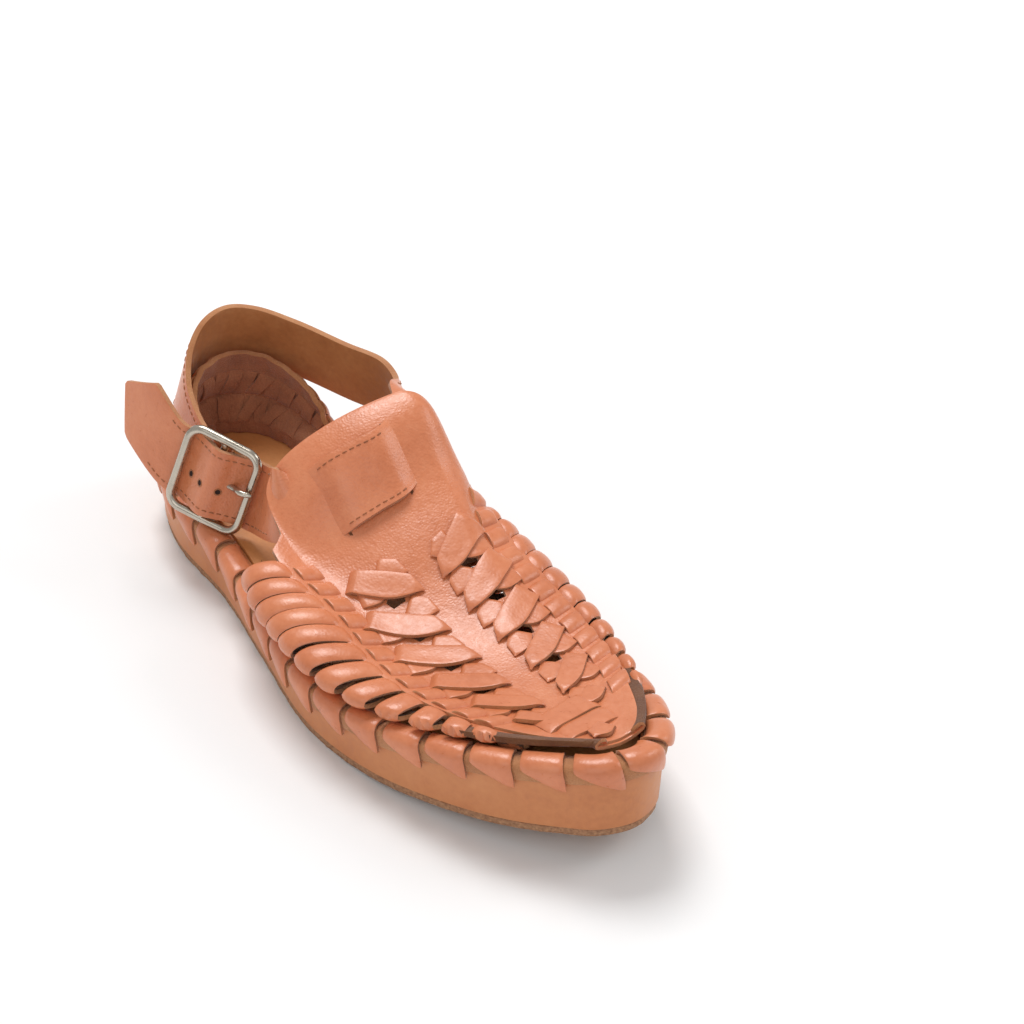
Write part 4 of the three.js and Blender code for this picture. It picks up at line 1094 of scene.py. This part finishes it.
def wirePiece(name, path, radius, closed, sides=18, taper=None):
    path = np.array(path)
    n = len(path)
    rings = []
    for i, p in enumerate(path):
        before = path[(i - 1) % n] if closed else path[max(i - 1, 0)]
        after = path[(i + 1) % n] if closed else path[min(i + 1, n - 1)]
        along = unit(after - before)
        side = unit(np.cross(buckleOut, along))
        over = np.cross(along, side)
        r = radius * (taper[i] if taper else 1)
        rings.append([p + side * math.cos(a) * r + over * math.sin(a) * r
                      for a in np.linspace(0, math.tau, sides, endpoint=False)])
    faces = tubeFaces(n, sides, closed=closed)
    piece = meshPiece(name, np.array(rings).reshape(-1, 3), faces, [nickel])
    turnOutward(piece)
    return piece


def makeBuckle():
    halfLong, halfHigh = (buckle["long"] - buckle["wire"]) / 2, (buckle["high"] - buckle["wire"]) / 2
    path = []
    for sx, sy, turn in ((1, 1, 0), (-1, 1, 1), (-1, -1, 2), (1, -1, 3)):
        for i in range(9):
            a = math.pi / 2 * (turn + i / 8)
            path.append(inBuckle(sx * (halfLong - buckle["corner"]) + math.cos(a) * buckle["corner"],
                                 sy * (halfHigh - buckle["corner"]) + math.sin(a) * buckle["corner"], 0))
    ring = wirePiece("buckleRing", path, buckle["wire"] / 2, True)
    finishPiece(ring, ["buckle_frame"], 60)
    bar = wirePiece("buckleBar", [inBuckle(0, u, 0) for u in np.linspace(-halfHigh, halfHigh, 9)],
                    buckle["wire"] * 0.42, False)
    finishPiece(bar, ["buckle_frame"], 50)
    reach = buckle["wire"] / 2 + buckle["prong"] / 2 + 0.3
    tine = throughPoints([inBuckle(reach, 0, -0.5), inBuckle(6, 0.7, 0), inBuckle(9.5, 1.4, 1.4),
                          inBuckle(12.5, 2, reach),
                          inBuckle(17, 2.8, reach)], False, 22)
    size = [1.0] * 17 + [0.97, 0.93, 0.86, 0.7, 0.42]
    piece = wirePiece("buckleTine", tine, buckle["prong"] / 2, False, 14, size)
    return finishPiece(piece, ["buckle_prong"], 50)


makeStrap()
makeBuckle()
print("strap and buckle ready")


# Studio

studio = {
    # name, place, size, power
    "lights": [("softKey", (-1.0, 0.25, 2.1), 1.0, 33), ("fillPanel", (1.2, -1.6, 1.4), 1.6, 8),
               ("rimPanel", (0.6, 1.5, 1.3), 0.8, 7)],
    "aim": (0, 0, 0.04), "world": 0.5, "floor": "#F4F4F4", "lens": 99.46,
    "camera": (0.67835, -0.47765, 0.64696), "right": (0.5887, 0.8069, 0.0482), "up": (-0.487, 0.3065, 0.8179),
    "back": (0.6452, -0.5049, 0.5734),
}


def makeStudio():
    bpy.ops.object.select_all(action="DESELECT")
    bpy.ops.mesh.primitive_plane_add(size=8, location=(0, 0, 0))
    floor = bpy.context.active_object
    floor.name = "studioFloor"
    material, tree, surface, coords = newMaterial("paleSweep")  # seamless paper, matt and near white
    surface.inputs["Base Color"].default_value = toLinear(studio["floor"])
    surface.inputs["Roughness"].default_value = 0.95
    surface.inputs["Specular IOR Level"].default_value = 0.1
    floor.data.materials.append(material)
    world = bpy.context.scene.world or bpy.data.worlds.new("studioWorld")
    bpy.context.scene.world = world
    world.use_nodes = True
    world.node_tree.nodes["Background"].inputs["Color"].default_value = (1, 1, 1, 1)
    world.node_tree.nodes["Background"].inputs["Strength"].default_value = studio["world"]
    for name, place, size, power in studio["lights"]:
        bpy.ops.object.light_add(type="AREA", location=place)
        light = bpy.context.active_object
        light.name = name
        light.data.size = size
        light.data.energy = power
        aim = Vector(studio["aim"]) - Vector(place)
        light.rotation_euler = aim.to_track_quat("-Z", "Y").to_euler()
    view = bpy.data.cameras.new("photoCamera")
    view.lens = studio["lens"]
    view.sensor_width = 36
    view.sensor_fit = "HORIZONTAL"
    camera = bpy.data.objects.new("photoCamera", view)
    bpy.context.scene.collection.objects.link(camera)
    turned = Matrix((studio["right"], studio["up"], studio["back"])).transposed().to_4x4()
    turned.translation = Vector(studio["camera"])
    camera.matrix_world = turned
    bpy.context.scene.camera = camera
    bpy.context.scene.view_settings.view_transform = "Standard"


makeStudio()
print("studio ready")
